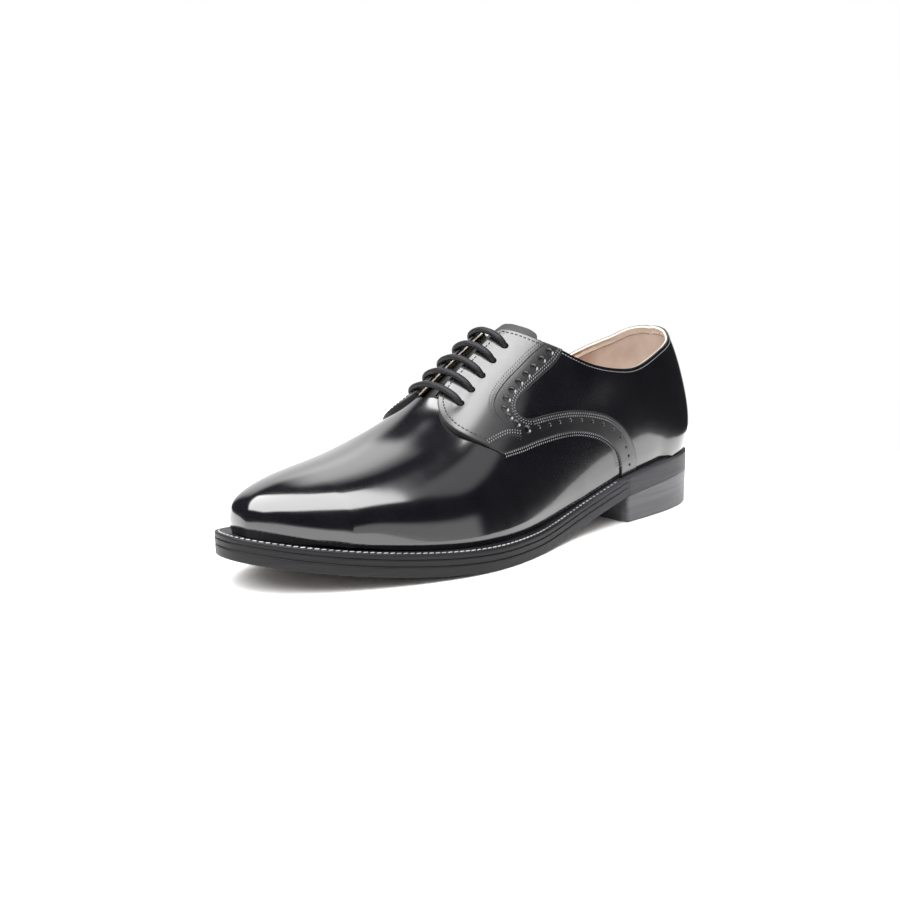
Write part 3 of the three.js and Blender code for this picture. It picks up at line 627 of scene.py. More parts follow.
class Sheet(Gathered):
    """One leather panel in the making: triangles over a level function, and strips along its edges."""

    def __init__(self, level):
        super().__init__()
        self.level = level

    def cover(self, outline, holes=(), spacing=2.0, inward=False):
        places, faces = fill(outline, holes, spacing)
        along, across = places[:, 0], places[:, 1]
        points = lasted(along, across, self.level(along, across))
        normals = surface_normals(along, across, self.level)
        if inward:
            faces = faces[:, ::-1]
            normals = -normals
        self.add(points, faces, normals)

    def edge(self, line, profile, closed=True):
        """A strip to the right of a line. Its profile holds distances and drops from the panel's level."""
        ahead, aside, stretch = right_of(line, closed)
        top = self.level(line[:, 0], line[:, 1])
        rows = []
        for distance, drop in profile:
            places = moved(line, ahead * distance, aside * distance, stretch)
            rows.append(lasted(places[:, 0], places[:, 1], top - drop))
        grid = np.array(rows)
        across_run = np.gradient(grid, axis=0)
        if closed:
            along_run = np.roll(grid, -1, 1) - np.roll(grid, 1, 1)
        else:
            along_run = np.gradient(grid, axis=1)
        normals = unit(np.cross(across_run, along_run))
        normals[0] = surface_normals(line[:, 0], line[:, 1], self.level)
        faces = strip_faces(len(rows), len(line), closed)
        self.add(grid.reshape(-1, 3), faces, normals.reshape(-1, 3))


def circle(place, radius, count):
    """A round line on the skin about a place, clockwise in the pattern plane."""
    angle = -2 * np.pi * np.arange(count) / count
    centre = np.repeat(np.array([place], float), count, 0)
    return moved(centre, radius * np.cos(angle), -radius * np.sin(angle))


# Materials
class Paint:
    """A material in the making, with short ways to add nodes and join them."""

    def __init__(self, name):
        self.material = bpy.data.materials.new(name)
        self.material.use_nodes = True
        self.nodes = self.material.node_tree.nodes
        self.links = self.material.node_tree.links
        self.shader = self.nodes["Principled BSDF"]

    def values(self, **sockets):
        for name, value in sockets.items():
            self.shader.inputs[name.replace("_", " ")].default_value = value

    def joins(self, **sockets):
        for name, source in sockets.items():
            self.links.new(source, self.shader.inputs[name.replace("_", " ")])

    def noise(self, scale, detail=3.0, roughness=0.55, stretch=None):
        """A noise texture in the object's own metres."""
        source = self.nodes.new("ShaderNodeTexCoord").outputs["Object"]
        texture = self.nodes.new("ShaderNodeTexNoise")
        texture.inputs["Scale"].default_value = scale
        texture.inputs["Detail"].default_value = detail
        texture.inputs["Roughness"].default_value = roughness
        if stretch is not None:
            mapping = self.nodes.new("ShaderNodeMapping")
            mapping.inputs["Scale"].default_value = stretch
            self.links.new(source, mapping.inputs["Vector"])
            source = mapping.outputs["Vector"]
        self.links.new(source, texture.inputs["Vector"])
        return texture.outputs["Fac"]

    def ramp(self, source, low, low_colour, high, high_colour):
        node = self.nodes.new("ShaderNodeValToRGB")
        for element, place, colour in zip(node.color_ramp.elements, (low, high), (low_colour, high_colour)):
            element.position = place
            element.color = (*colour, 1.0)
        self.links.new(source, node.inputs["Fac"])
        return node.outputs["Color"]

    def spread(self, source, low, high, start=0.0, end=1.0, shape="LINEAR"):
        """A value that runs from low to high while its source runs from start to end."""
        node = self.nodes.new("ShaderNodeMapRange")
        node.interpolation_type = shape
        for socket, value in zip(("From Min", "From Max", "To Min", "To Max"), (start, end, low, high)):
            node.inputs[socket].default_value = value
        self.links.new(source, node.inputs["Value"])
        return node.outputs["Result"]

    def length_place(self):
        """The place along the shoe, in metres."""
        place = self.nodes.new("ShaderNodeSeparateXYZ")
        self.links.new(self.nodes.new("ShaderNodeTexCoord").outputs["Object"], place.inputs["Vector"])
        return place.outputs["X"]

    def bump(self, source, strength, distance, below=None):
        node = self.nodes.new("ShaderNodeBump")
        node.inputs["Strength"].default_value = strength
        node.inputs["Distance"].default_value = distance
        self.links.new(source, node.inputs["Height"])
        if below is not None:
            self.links.new(below, node.inputs["Normal"])
        return node.outputs["Normal"]


def leather(name, dark, light, gloss, coat, grain=0.05, pore_scale=1500.0, coat_gloss=0.05):
    """Polished leather: fine pores, faint clouds of wax and a clear coat."""
    paint = Paint(name)
    pores = paint.bump(paint.noise(pore_scale, 4.0, 0.6), grain, 0.00012)
    waves = paint.bump(paint.noise(45.0, 2.0, 0.4), 0.12, 0.0006, pores)
    paint.joins(
        Base_Color=paint.ramp(paint.noise(60.0), 0.35, dark, 0.7, light),
        Roughness=paint.spread(paint.noise(140.0, 4.0), *gloss),
        Normal=waves,
        Coat_Normal=waves,
    )
    paint.values(Coat_Weight=coat, Coat_Roughness=coat_gloss, Specular_IOR_Level=0.65)
    return paint.material


FINE_PORES = 2600.0
FIBRES = 3000.0
SOFT_PORES = 900.0
calf = leather("box_calf", (0.0022, 0.0022, 0.0034), (0.004, 0.004, 0.0056), (0.12, 0.19), 1.0, 0.03)
calf_panel = leather(
    "panel_calf", (0.0025, 0.0025, 0.0036), (0.005, 0.005, 0.0065), (0.26, 0.38), 1.0, 0.12, coat_gloss=0.16
)
calf_edge = leather(
    "cut_edge", (0.004, 0.0035, 0.0035), (0.01, 0.008, 0.008), (0.5, 0.65), 0.0, 0.3, FINE_PORES
)
tongue_leather = leather(
    "tongue_leather", (0.004, 0.0035, 0.004), (0.008, 0.007, 0.0075), (0.5, 0.62), 0.0
)
rim_leather = leather(
    "rim_leather", (0.66, 0.56, 0.47), (0.8, 0.72, 0.63), (0.45, 0.6), 0.08, 0.2, SOFT_PORES
)
sock_leather = leather(
    "sock_leather", (0.5, 0.39, 0.31), (0.66, 0.54, 0.45), (0.5, 0.65), 0.05, 0.2, SOFT_PORES
)
# Near black: painted shade for the floors of the holes and for the prick marks.
hole_shade = leather("hole_shade", (0.001, 0.001, 0.001), (0.003, 0.003, 0.003), (0.6, 0.8), 0.0)


def thread(name, dark, light, gloss, coat):
    return leather(name, dark, light, gloss, coat, 0.3, FIBRES)


thread_black = thread("black_thread", (0.006, 0.006, 0.007), (0.014, 0.014, 0.016), (0.5, 0.65), 0.0)
# Black waxed thread painted mid grey: a painted glint, light on black leather and dark on bright.
waxed_glint_thread = thread("waxed_black_thread_painted_glint", (0.13, 0.13, 0.135), (0.26, 0.26, 0.27), (0.4, 0.55), 0.0)
thread_grey = thread("welt_thread", (0.2, 0.2, 0.21), (0.42, 0.42, 0.43), (0.45, 0.6), 0.1)
thread_brown = thread("brown_thread", (0.2, 0.09, 0.04), (0.33, 0.17, 0.08), (0.5, 0.6), 0.1)


def lining_material():
    """Pale calf lining, in patches browner and then near black towards the throat: the near black is painted
    shade deep inside the shoe.
    """
    paint = Paint("lining_leather")
    forward = paint.spread(paint.length_place(), 0.0, 1.0, -0.125, -0.02)
    front_darkening = paint.nodes.new("ShaderNodeMath")
    front_darkening.operation = "MULTIPLY"
    front_darkening.use_clamp = True
    paint.links.new(forward, front_darkening.inputs[0])
    paint.links.new(paint.spread(paint.noise(90.0), 1.5, 5.5), front_darkening.inputs[1])
    mix = paint.nodes.new("ShaderNodeMix")
    mix.data_type = "RGBA"
    paint.links.new(front_darkening.outputs["Value"], mix.inputs["Factor"])
    cream = paint.ramp(paint.noise(50.0, 4.0), 0.3, (0.54, 0.43, 0.36), 0.7, (0.74, 0.63, 0.55))
    paint.links.new(cream, mix.inputs["A"])
    # Painted shade: brown, then near black where the lining lies deep inside the shoe.
    brown_then_shade = paint.ramp(forward, 0.4, (0.28, 0.11, 0.05), 0.85, (0.02, 0.014, 0.012))
    paint.links.new(brown_then_shade, mix.inputs["B"])
    paint.joins(Base_Color=mix.outputs["Result"], Normal=paint.bump(paint.noise(900.0, 4.0), 0.2, 0.0001))
    paint.values(Roughness=0.6)
    return paint.material


lining_leather = lining_material()
STREAKS = (0.25, 0.25, 9.0)


def sole_material(name, dark, light, gloss, fore_shade=1.0, streaks=STREAKS):
    """Inked and burnished sole leather with fine lines along the edge. fore_shade darkens the forepart:
    painted shade.
    """
    paint = Paint(name)
    lines = paint.noise(70.0, 4.0, 0.6, streaks)
    darker = paint.nodes.new("ShaderNodeVectorMath")
    darker.operation = "SCALE"
    paint.links.new(paint.ramp(lines, 0.3, dark, 0.7, light), darker.inputs["Vector"])
    shade = paint.spread(paint.length_place(), 1.0, fore_shade, -0.1, 0.01, "SMOOTHSTEP")
    paint.links.new(shade, darker.inputs["Scale"])
    paint.joins(
        Base_Color=darker.outputs["Vector"],
        Roughness=paint.spread(paint.noise(260.0, 4.0), *gloss),
        Normal=paint.bump(paint.noise(1800.0), 0.12, 0.0001, paint.bump(lines, 0.08, 0.0002)),
    )
    paint.values(Coat_Weight=0.1, Coat_Roughness=0.3, Specular_IOR_Level=0.2)
    return paint.material


# Painted shade: the forepart of the sole edge is darkened to a quarter of the waist's and heel's ink.
sole_ink_shaded_forepart = sole_material("sole_ink_shaded_forepart", (0.026, 0.026, 0.03), (0.046, 0.046, 0.052), (0.42, 0.56), 0.25)
# Painted sheen: the heel is inked a lighter grey than the sole edge, standing in for the light its burnish
# reflects.
heel_ink_painted_sheen = sole_material("heel_ink_painted_sheen", (0.07, 0.07, 0.076), (0.1, 0.1, 0.108), (0.32, 0.45))
sole_bottom = sole_material(
    "sole_bottom", (0.03, 0.022, 0.018), (0.055, 0.042, 0.034), (0.35, 0.5), streaks=(0.25, 0.25, 1.0)
)


def lace_material():
    """Waxed round cotton: a fine braid over near black."""
    paint = Paint("waxed_lace")
    braid = paint.noise(1500.0, 2.0, 0.5)
    paint.joins(
        Base_Color=paint.ramp(braid, 0.35, (0.002, 0.002, 0.003), 0.7, (0.018, 0.018, 0.021)),
        Roughness=paint.spread(braid, 0.4, 0.62),
        Normal=paint.bump(braid, 0.5, 0.0002),
    )
    paint.values(Specular_IOR_Level=0.25)
    return paint.material


lace_cotton = lace_material()

# Relief of the leather
FOOT_TUCK = 0.028
FOOT_TUCK_FOREPART = 1.2
FOOT_TUCK_HEEL = 2.3


def tuck(along, across):
    """How far the wall turns in where it meets the welt."""
    edge = edge_share(along, across)
    at_heel = np.clip((0.42 - along) / 0.2, 0, 1)
    depth = FOOT_TUCK_FOREPART + (FOOT_TUCK_HEEL - FOOT_TUCK_FOREPART) * at_heel
    return depth * np.clip(1 - edge / FOOT_TUCK, 0, 1) ** 2


# Faint folds across the vamp where the foot bends: along and across of the middle, depth, width and length
VAMP_FOLDS = [
    (0.668, 0.34, 0.3, 6.0, 17.0), (0.642, 0.29, 0.24, 5.0, 15.0), (0.69, 0.43, 0.22, 6.0, 16.0),
    (0.66, 0.66, 0.26, 6.0, 17.0), (0.64, 0.71, 0.2, 5.0, 14.0), (0.612, 0.41, 1.0, 9.0, 12.0),
    (0.616, 0.335, 1.3, 9.0, 14.0), (0.612, 0.59, 1.0, 9.0, 12.0), (0.616, 0.665, 1.3, 9.0, 14.0),
]


def vamp_level(along, across):
    level = 0 * along - tuck(along, across)
    for fold_along, fold_across, depth, width, length in VAMP_FOLDS:
        ahead = (along - fold_along) * PATTERN_LENGTH
        aside = (across - fold_across) * PATTERN_GIRTH
        level = level - depth * np.exp(-((ahead / width) ** 2) - (aside / length) ** 2)
    return level


def quarter_level(along, across):
    return QUARTER_LEVEL - tuck(along, across)


def band_level(along, across):
    return BAND_LEVEL - tuck(along, across)


# Soft dents of the facing, one round each lace hole
HOLE_DENT = 0.35
HOLE_DENT_REACH = 4.5
INNER_LACE_SHIFT = 0.027


def facing_level(along, across):
    level = FACING_LEVEL - tuck(along, across)
    for hole_along, hole_across in LACE_HOLES:
        for side in (hole_across, 1 - hole_across - INNER_LACE_SHIFT):
            ahead = (along - hole_along) * PATTERN_LENGTH
            aside = (across - side) * PATTERN_GIRTH * 0.9
            level = level - HOLE_DENT * np.exp(-(ahead**2 + aside**2) / HOLE_DENT_REACH**2 * 2)
    return level


def flat(height):
    return lambda along, across: 0 * along + height


# Pieces of the upper. Each panel's folded or cut edge is a strip with its own profile.
CUT_EDGE = [(0, 0), (0.2, 0.02), (0.4, 0.1), (0.55, 0.24), (0.62, 0.42), (0.64, 0.7), (0.62, 1.6)]
DEEP_EDGE = CUT_EDGE + [(0.55, 2.6)]
PUNCH_EDGE = [(0, 0), (0.12, 0.03), (0.34, 0.16), (0.62, 0.42), (0.82, 0.68), (0.92, 0.95), (0.95, 1.4)]
SMALL_PUNCH_EDGE = [(0, 0), (0.1, 0.03), (0.25, 0.13), (0.4, 0.3), (0.48, 0.55), (0.5, 1.2)]
LACE_HOLE_EDGE = [(0, 0), (0.15, 0.04), (0.3, 0.16), (0.42, 0.36), (0.48, 0.7), (0.48, 1.6)]


def both(line, side):
    return mirrored(line) if side == "inner" else np.asarray(line, float)


SIDES = ("outer", "inner")
LACE_CUT = 2.25
LARGE_PUNCH = 2.25
SMALL_PUNCH = 1.05


def cuts(places, radius, count):
    """Round cuts about places on each side."""
    return {side: [circle(place, radius, count) for place in places[side]] for side in SIDES}


def sided(rows):
    return {side: both(rows, side) for side in SIDES}


lace_holes = sided(LACE_HOLES)
lace_holes["inner"][:, 1] -= INNER_LACE_SHIFT
lace_cuts = cuts(lace_holes, LACE_CUT, 20)
large_cuts = cuts(sided(LARGE_PUNCHES), LARGE_PUNCH, 20)
small_cuts = cuts(sided(SMALL_PUNCHES), SMALL_PUNCH, 12)

# Vamp: the whole forepart, running on under the quarters
PANELS_MEET = 0.372
VAMP_UNDER = [(PANELS_MEET, 0.16), (0.42, 0.2), (0.48, 0.24), (0.54, 0.3), (0.57, 0.37), (0.582, 0.43)]


def straight(along, across, count):
    """A straight line of the pattern, between two values along and two across."""
    return np.column_stack([np.linspace(*along, count), np.linspace(*across, count)])


vamp_side = joined(
    straight((PANELS_MEET, PANELS_MEET), (0.0, 0.16), 12),
    smooth(VAMP_UNDER),
    smooth([(0.582, 0.43), (0.603, 0.455), (0.61, 0.5)]),
)
vamp_foot = straight((PANELS_MEET, 1.0), (0.0, 0.0), 170)
vamp_outline = joined(
    vamp_side,
    mirrored(vamp_side)[::-1],
    mirrored(vamp_foot),
    straight((1.0, 1.0), (1.0, 0.0), 90),
    vamp_foot[::-1],
)
vamp = Sheet(vamp_level)
vamp.cover(vamp_outline, spacing=1.9)
vamp.build("vamp", calf, "upper")

# Quarters: one sheet round the heel, its front part hidden under the bands
QUARTER_UNDERLAP = 1.5
band_back_edge = joined(smooth(BAND_UPPER[::-1]), smooth(BAND_BACK[::-1]))
quarter_side = offset(band_back_edge, -QUARTER_UNDERLAP)[1:-1]
topline_back = smooth(TOPLINE[:-1])
topline_half = joined(smooth(TOPLINE), smooth(FACING_TOP))
heel_edge = straight((0.0, 0.0), (1.0, 0.0), 70)
quarter_foot = straight((0.0, PANELS_MEET), (0.0, 0.0), 110)
quarter_outline = joined(
    quarter_foot,
    quarter_side,
    topline_back[::-1],
    mirrored(topline_back),
    mirrored(quarter_side)[::-1],
    mirrored(quarter_foot)[::-1],
    heel_edge,
)
quarters = Sheet(quarter_level)
quarters.cover(quarter_outline, spacing=2.1)
quarters.build("quarters", calf, "upper")

# Band with the large punched holes, and the lower band with the small ones
BAND_TOP = [(0.4445, 0.289), (0.452, 0.3045), (0.463, 0.331)]
UNDER_FACING = [
    (0.463, 0.331), (0.5, 0.329), (0.53, 0.328), (0.553, 0.323), (0.57, 0.312), (0.578, 0.29),
    (0.579, 0.265), (0.576, 0.243), (0.59, 0.24), (0.603, 0.24),
]
band_line = joined(
    smooth(BAND_TOP),
    smooth(UNDER_FACING),
    np.array([(0.603, 0.24), (0.603, 0.232)]),
    smooth(CORNER_FRONT[::-1]),
    smooth(QUARTER_LOWER[::-1]),
    np.array([(0.4, 0.004), (0.4, 0.0), (0.367, 0.0), (0.367, 0.004)]),
    smooth(BAND_UPPER[::-1]),
    smooth(BAND_BACK[::-1]),
)
facing_line = joined(*(smooth(part) for part in (FACING_TOP, THROAT, FACING_FRONT, FACING_FOOT, FACING_BACK)))


def panel(name, side, line, level, spacing, edge, *punched):
    """A panel with a cut edge of its own and with punched holes, each set of them with its own soft edge."""
    line = anticlockwise(both(line, side))
    leather_panel = Sheet(level)
    leather_panel.cover(line, [hole for holes, _ in punched for hole in holes], spacing)
    rim_strip(f"{name}_edge_{side}", level, line, edge, calf_edge)
    for holes, profile in punched:
        for hole in holes:
            leather_panel.edge(hole, profile)
    leather_panel.build(f"{name}_{side}", calf_panel, "upper")


def rim_strip(name, level, line, profile, material, closed=True):
    strip = Sheet(level)
    strip.edge(line, profile, closed)
    strip.build(name, material, "upper")


for side in SIDES:
    punches = (large_cuts[side], PUNCH_EDGE), (small_cuts[side], SMALL_PUNCH_EDGE)
    panel("band", side, band_line, band_level, 1.5, CUT_EDGE, *punches)
    panel("facing", side, facing_line, facing_level, 1.6, DEEP_EDGE, (lace_cuts[side], LACE_HOLE_EDGE))

# Floors of the punched holes: near black discs, painted shade inside the holes
HOLE_DEPTHS = ((large_cuts, 1.25), (small_cuts, 1.2), (lace_cuts, 1.7))
hole_shade_floors = Gathered()
for side in SIDES:
    for holes, depth in HOLE_DEPTHS:
        for hole in holes[side]:
            ring = lasted(hole[:, 0], hole[:, 1], BAND_LEVEL - depth)
            count = len(ring)
            faces = [(i, count, (i + 1) % count) for i in range(count)]
            hole_shade_floors.add(np.vstack([ring, ring.mean(0)]), faces)
hole_shade_floors.build("hole_shade_floors", hole_shade, "upper")

# Lining: all the inside, down to the insole
lining_half = joined(
    topline_half,
    np.array([(0.499, 0.4545), (0.54, 0.4545), (0.585, 0.4545), (0.612, 0.4545), (0.612, 0.5)]),
)
lining_opening = anticlockwise(joined(lining_half, mirrored(lining_half)[::-1]))[::-1]
lining_foot = straight((0.0, 0.99), (0.0, 0.0), 220)
lining_front = straight((0.99, 0.99), (0.0, 1.0), 60)
lining_outline = joined(lining_foot, lining_front, mirrored(lining_foot)[::-1], heel_edge)
lining = Sheet(flat(LINING_LEVEL))
lining.cover(lining_outline, [lining_opening], spacing=3.0, inward=True)
lining.build("lining", lining_leather, "upper")

# Rims: at the collar the leather turns over into a pale fold, at the throat it shows its cut edge
collar_rim = smooth(TOPLINE)
throat_rim = joined(smooth(FACING_TOP), smooth(THROAT), smooth([(0.586, 0.455), (0.603, 0.4555)]))
COLLAR_OUTER = [(-1.0, 0.1), (-0.1, 0.1), (0.22, 0.2), (0.38, 0.5), (0.42, 0.9), (0.38, 1.2)]
COLLAR_FOLD = [(0.38, 1.15), (0.44, 1.5), (0.3, 1.95), (-0.1, 2.3), (-1.2, 2.45), (-3.6, 2.5)]
THROAT_OUTER = [(0.3, 0.5), (0.62, 0.7), (0.64, 1.2), (0.6, 1.7)]
THROAT_LINING = [(0.6, 1.65), (0.68, 1.9), (0.68, 2.3), (0.5, 2.6), (-0.4, 2.75)]
for side in SIDES:
    for name, line, level, profile, material in (
        ("collar_edge", collar_rim, QUARTER_LEVEL, COLLAR_OUTER, calf_edge),
        ("collar_fold", collar_rim, QUARTER_LEVEL, COLLAR_FOLD, rim_leather),
        ("throat_edge", throat_rim, FACING_LEVEL, THROAT_OUTER, calf_edge),
        ("throat_lining", throat_rim, FACING_LEVEL, THROAT_LINING, rim_leather),
    ):
        half = line if side == "outer" else mirrored(line)[::-1]
        rim_strip(f"{name}_{side}", flat(level), half, profile, material, closed=False)

# Tongue
tongue_half = smooth(TONGUE_OUTLINE)
tongue_line = anticlockwise(joined(tongue_half, mirrored(tongue_half)[::-1]))
TONGUE_TOP = -(VAMP_WALL + 2 * GAP + LACE_FLAT)
TONGUE_THICKNESS = 1.6
TONGUE_RIM = [(0, 0), (0.3, 0.1), (0.5, 0.4), (0.55, 0.8), (0.45, 1.2), (0.1, 1.55)]
tongue = Sheet(flat(TONGUE_TOP))
tongue.cover(tongue_line, spacing=2.0)
tongue.edge(tongue_line, TONGUE_RIM)
tongue_piece = tongue.build("tongue_leather", tongue_leather, "tongue")
tongue_back = Sheet(flat(TONGUE_TOP - TONGUE_THICKNESS))
tongue_back.cover(tongue_line, spacing=3.0, inward=True)
tongue_back.build("tongue_lining", lining_leather, "tongue")
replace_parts(tongue_piece, "tongue")


# Stitches
def even(line, pitch):
    """Places at equal steps on the skin along an open line."""
    length = run_length(lasted(line[:, 0], line[:, 1], 1.0))
    count = max(1, int(length[-1] / pitch))
    at = (np.arange(count) + 0.5) * length[-1] / count
    along = np.interp(at, length, line[:, 0])
    across = np.interp(at, length, line[:, 1])
    return along, across


SEAM_INSET = 1.0
STITCH_RINGS = ((-0.5, 0.25), (-0.34, 0.85), (0.34, 0.85), (0.5, 0.25))
STITCH_SIDES = 6
STITCH_FACES = [(f[0], *f[:0:-1]) for f in tube_faces(len(STITCH_RINGS), STITCH_SIDES)]
SEAM_STITCH = {"pitch": 1.55, "length": 1.0, "width": 0.44, "height": 0.26, "slant": 1.2}
LONG_STITCH = {"pitch": 2.25, "length": 1.55, "width": 0.85, "height": 0.36}
COLLAR_STITCH = {"pitch": 1.7, "length": 1.2, "width": 0.55, "height": 0.28}
INNER_STITCH = {"pitch": 1.9, "length": 1.5, "width": 0.6, "height": 0.22}


class Stitches(Gathered):
    """Rows of short thread humps, gathered into one mesh."""

    def humps(self, centre, ahead, normal, length, width, height):
        side = unit(np.cross(normal, ahead))
        ahead = unit(np.cross(side, normal))
        angle = 2 * np.pi * np.arange(STITCH_SIDES) / STITCH_SIDES
        for c, a, s, n in zip(centre, ahead, side, normal):
            rings = [
                c
                + a * (place * length)
                + np.outer(np.cos(angle) * width / 2 * girth, s)
                + np.outer(np.sin(angle) * height * girth, n)
                for place, girth in STITCH_RINGS
            ]
            self.add(np.vstack(rings), STITCH_FACES)

    def row(self, line, level, pitch, length, width, height, slant=0.0):
        along, across = even(line, pitch)
        centre = lasted(along, across, level)
        normal = skin_normal(along, across)
        points = lasted(line[:, 0], line[:, 1], level)
        run = unit(np.gradient(points, axis=0))
        length_at = run_length(points)
        at = (np.arange(len(along)) + 0.5) * length_at[-1] / len(along)
        ahead = np.stack([np.interp(at, length_at, run[:, k]) for k in range(3)], 1)
        side = np.cross(normal, ahead)
        ahead = unit(ahead + side * slant)
        self.humps(centre, ahead, normal, length, width, height)


ROW_GAP = 1.35
FRONT_INSET = 2.3
TOP_INSET = 1.7
COLLAR_INSET = 1.6
INNER_INSET = 3.9
facing_thread = Stitches()
band_thread = Stitches()
inner_thread = Stitches()
for side in SIDES:
    facing_turn = turning(both(joined(smooth(FACING_TOP), smooth(FACING_FRONT), smooth(FACING_BACK)), side))
    sign = 1 if facing_turn > 0 else -1
    slanted = dict(SEAM_STITCH, slant=sign * SEAM_STITCH["slant"])
    for seam_thread, rows, turn, level in (
        (facing_thread, FACING_BACK, -sign, FACING_LEVEL),
        (band_thread, FACING_FOOT, -sign, FACING_LEVEL),
        (band_thread, BAND_BACK, sign, BAND_LEVEL),
        (band_thread, BAND_UPPER[:-1], sign, BAND_LEVEL),
        (band_thread, QUARTER_LOWER[1:], -sign, BAND_LEVEL),
    ):
        for distance in (SEAM_INSET, SEAM_INSET + ROW_GAP):
            seam_thread.row(offset(smooth(both(rows, side)), turn * distance), level, **slanted)
    front = joined(smooth(both(THROAT, side)), smooth(both(FACING_FRONT, side)))
    facing_thread.row(offset(front, -sign * FRONT_INSET), FACING_LEVEL, **LONG_STITCH)
    top = smooth(both(FACING_TOP, side))
    facing_thread.row(offset(top, -sign * TOP_INSET), FACING_LEVEL, **LONG_STITCH)
    collar = smooth(both(TOPLINE, side))
    band_thread.row(offset(collar, -sign * COLLAR_INSET), QUARTER_LEVEL, **COLLAR_STITCH)
    inner_thread.row(offset(collar, -sign * INNER_INSET), LINING_LEVEL - 0.05, **INNER_STITCH)
facing_thread.build("facing_stitches", thread_black, "upper")
# The band's stitches carry the grey of the painted glint.
band_thread.build("band_stitches", waxed_glint_thread, "upper")
inner_thread.build("collar_stitches", thread_brown, "upper")


# Lace
def tube(points, sides, ups, half_width, half_height):
    """A closed oval tube along points; ups point out of its flat side."""
    points = np.asarray(points)
    run = unit(np.gradient(points, axis=0))
    side = unit(np.cross(run, ups))
    up = np.cross(side, run)
    angle = 2 * np.pi * np.arange(sides) / sides
    rings = (
        points[:, None]
        + side[:, None] * (np.cos(angle) * half_width)[None, :, None]
        + up[:, None] * (np.sin(angle) * half_height)[None, :, None]
    )
    return rings.reshape(-1, 3), tube_faces(len(points), sides)


LACE_SIDES = 14
LACE_WIDTH = 3.5
LACE_HEIGHT = 3.1
BAR_ROUTE = [
    (-0.07, -2.9), (-0.045, -2.0), (-0.012, -0.5), (0.03, 1.3), (0.09, 2.6), (0.18, 3.3), (0.33, 3.7),
    (0.5, 3.7), (0.64, 3.5), (0.8, 3.05), (0.91, 2.45), (0.97, 1.3), (1.012, -0.5), (1.045, -2.0),
    (1.07, -2.9),
]

lace_bars = Gathered()
for hole_along, hole_across in LACE_HOLES:
    shares = np.array([share for share, _ in BAR_ROUTE])
    across = hole_across + (1 - INNER_LACE_SHIFT - 2 * hole_across) * shares
    level = np.array([height for _, height in BAR_ROUTE])
    centres = curve_through(lasted(np.full(len(across), hole_along), across, level), 0.8, 2)
    middle = lasted(np.array([hole_along - 0.02, hole_along + 0.02]), np.array([0.5, 0.5]), 0.0)
    ahead = unit((middle[1] - middle[0])[None])[0]
    ups = np.cross(ahead, np.gradient(centres, axis=0))
    lace_bars.add(*tube(centres, LACE_SIDES, unit(ups), LACE_WIDTH / 2, LACE_HEIGHT / 2))
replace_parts(lace_bars.build("lace_bars", lace_cotton, "lace"), "lace")

# Sole edge: one profile swept round the shoe, from the outsole's underside to the feather line
WELT_TOP = 11.0
SOLE_PROFILE = [
    (3.0, 0.0), (0.9, 0.02), (0.35, 0.16), (0.06, 0.5), (0.0, 1.0), (0.0, 2.4), (0.0, 3.9), (0.02, 4.7),
    (0.12, 4.95), (0.5, 5.15), (0.5, 5.35), (0.1, 5.5), (-0.06, 5.62), (-0.04, 5.8), (0.02, 6.2), (0.02, 7.4),
    (0.04, 7.95), (0.2, 8.15), (0.5, 8.3), (0.5, 8.45), (0.12, 8.6), (-0.05, 8.75), (-0.02, 9.0), (0.02, 9.6),
    (0.06, 10.3), (0.25, 10.75), (0.6, 10.95), (1.0, 11.0),
]


def line_depth(x):
    """The lines between the layers are burnished away round the heel."""
    return np.clip((x - HEEL_LENGTH + 1.0) / 3.0, 0, 1)


reach = welt_reach(SOLE_EDGE[:, 0])
sole_rows = [
    (distance * (line_depth(SOLE_EDGE[:, 0]) if 0.1 < height < 10.5 else np.ones(len(SOLE_EDGE))), height)
    for distance, height in SOLE_PROFILE
]
sole_rows += [(1.0 + (reach - 1.0) * share, WELT_TOP) for share in (0.25, 0.5, 0.75, 1.0)]
sole_rows += [(reach + 2.2, WELT_TOP - 0.1)]
sole_grid = []
for distance, height in sole_rows:
    ring = inset(SOLE_EDGE, distance)
    sole_grid.append(np.column_stack([ring, tread_height(ring[:, 0]) + height]))
sole_faces = [f[::-1] for f in strip_faces(len(sole_rows), len(SOLE_EDGE), True)]
sole_piece = mesh_object("sole_edge", np.vstack(sole_grid), sole_faces, sole_ink_shaded_forepart)
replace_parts(sole_piece, "outsole", "midsole", "welt")


def board(name, loop, margin, stations, shares, height, material):
    """A sheet across a loop of the sole. Its height depends on the place along it and the share across it."""
    x = np.linspace(loop[:, 0].min() + margin, loop[:, 0].max() - margin, stations)
    outer, inner = edges_at(loop, x)
    rows = [np.column_stack([x, outer + (inner - outer) * share, height(x, share)]) for share in shares]
    return mesh_object(name, np.vstack(rows), strip_faces(len(rows), stations, False), material)


# Underside of the outsole. Its rows run from the inner side, so that its faces look down.
board(
    "sole_underside",
    inset(SOLE_EDGE, 2.9),
    0.05,
    140,
    np.linspace(1, 0, 9),
    lambda x, share: tread_height(x) + 0.01,
    sole_bottom,
)

# Heel: a smooth swept wall, a hollow breast and a flat top piece
half_heel = HEEL_WIDTH / 2
breast_radius = (half_heel**2 + BREAST_HOLLOW**2) / (2 * BREAST_HOLLOW)


def breast_x(y):
    return HEEL_LENGTH - BREAST_HOLLOW + breast_radius - np.sqrt(breast_radius**2 - np.asarray(y) ** 2)


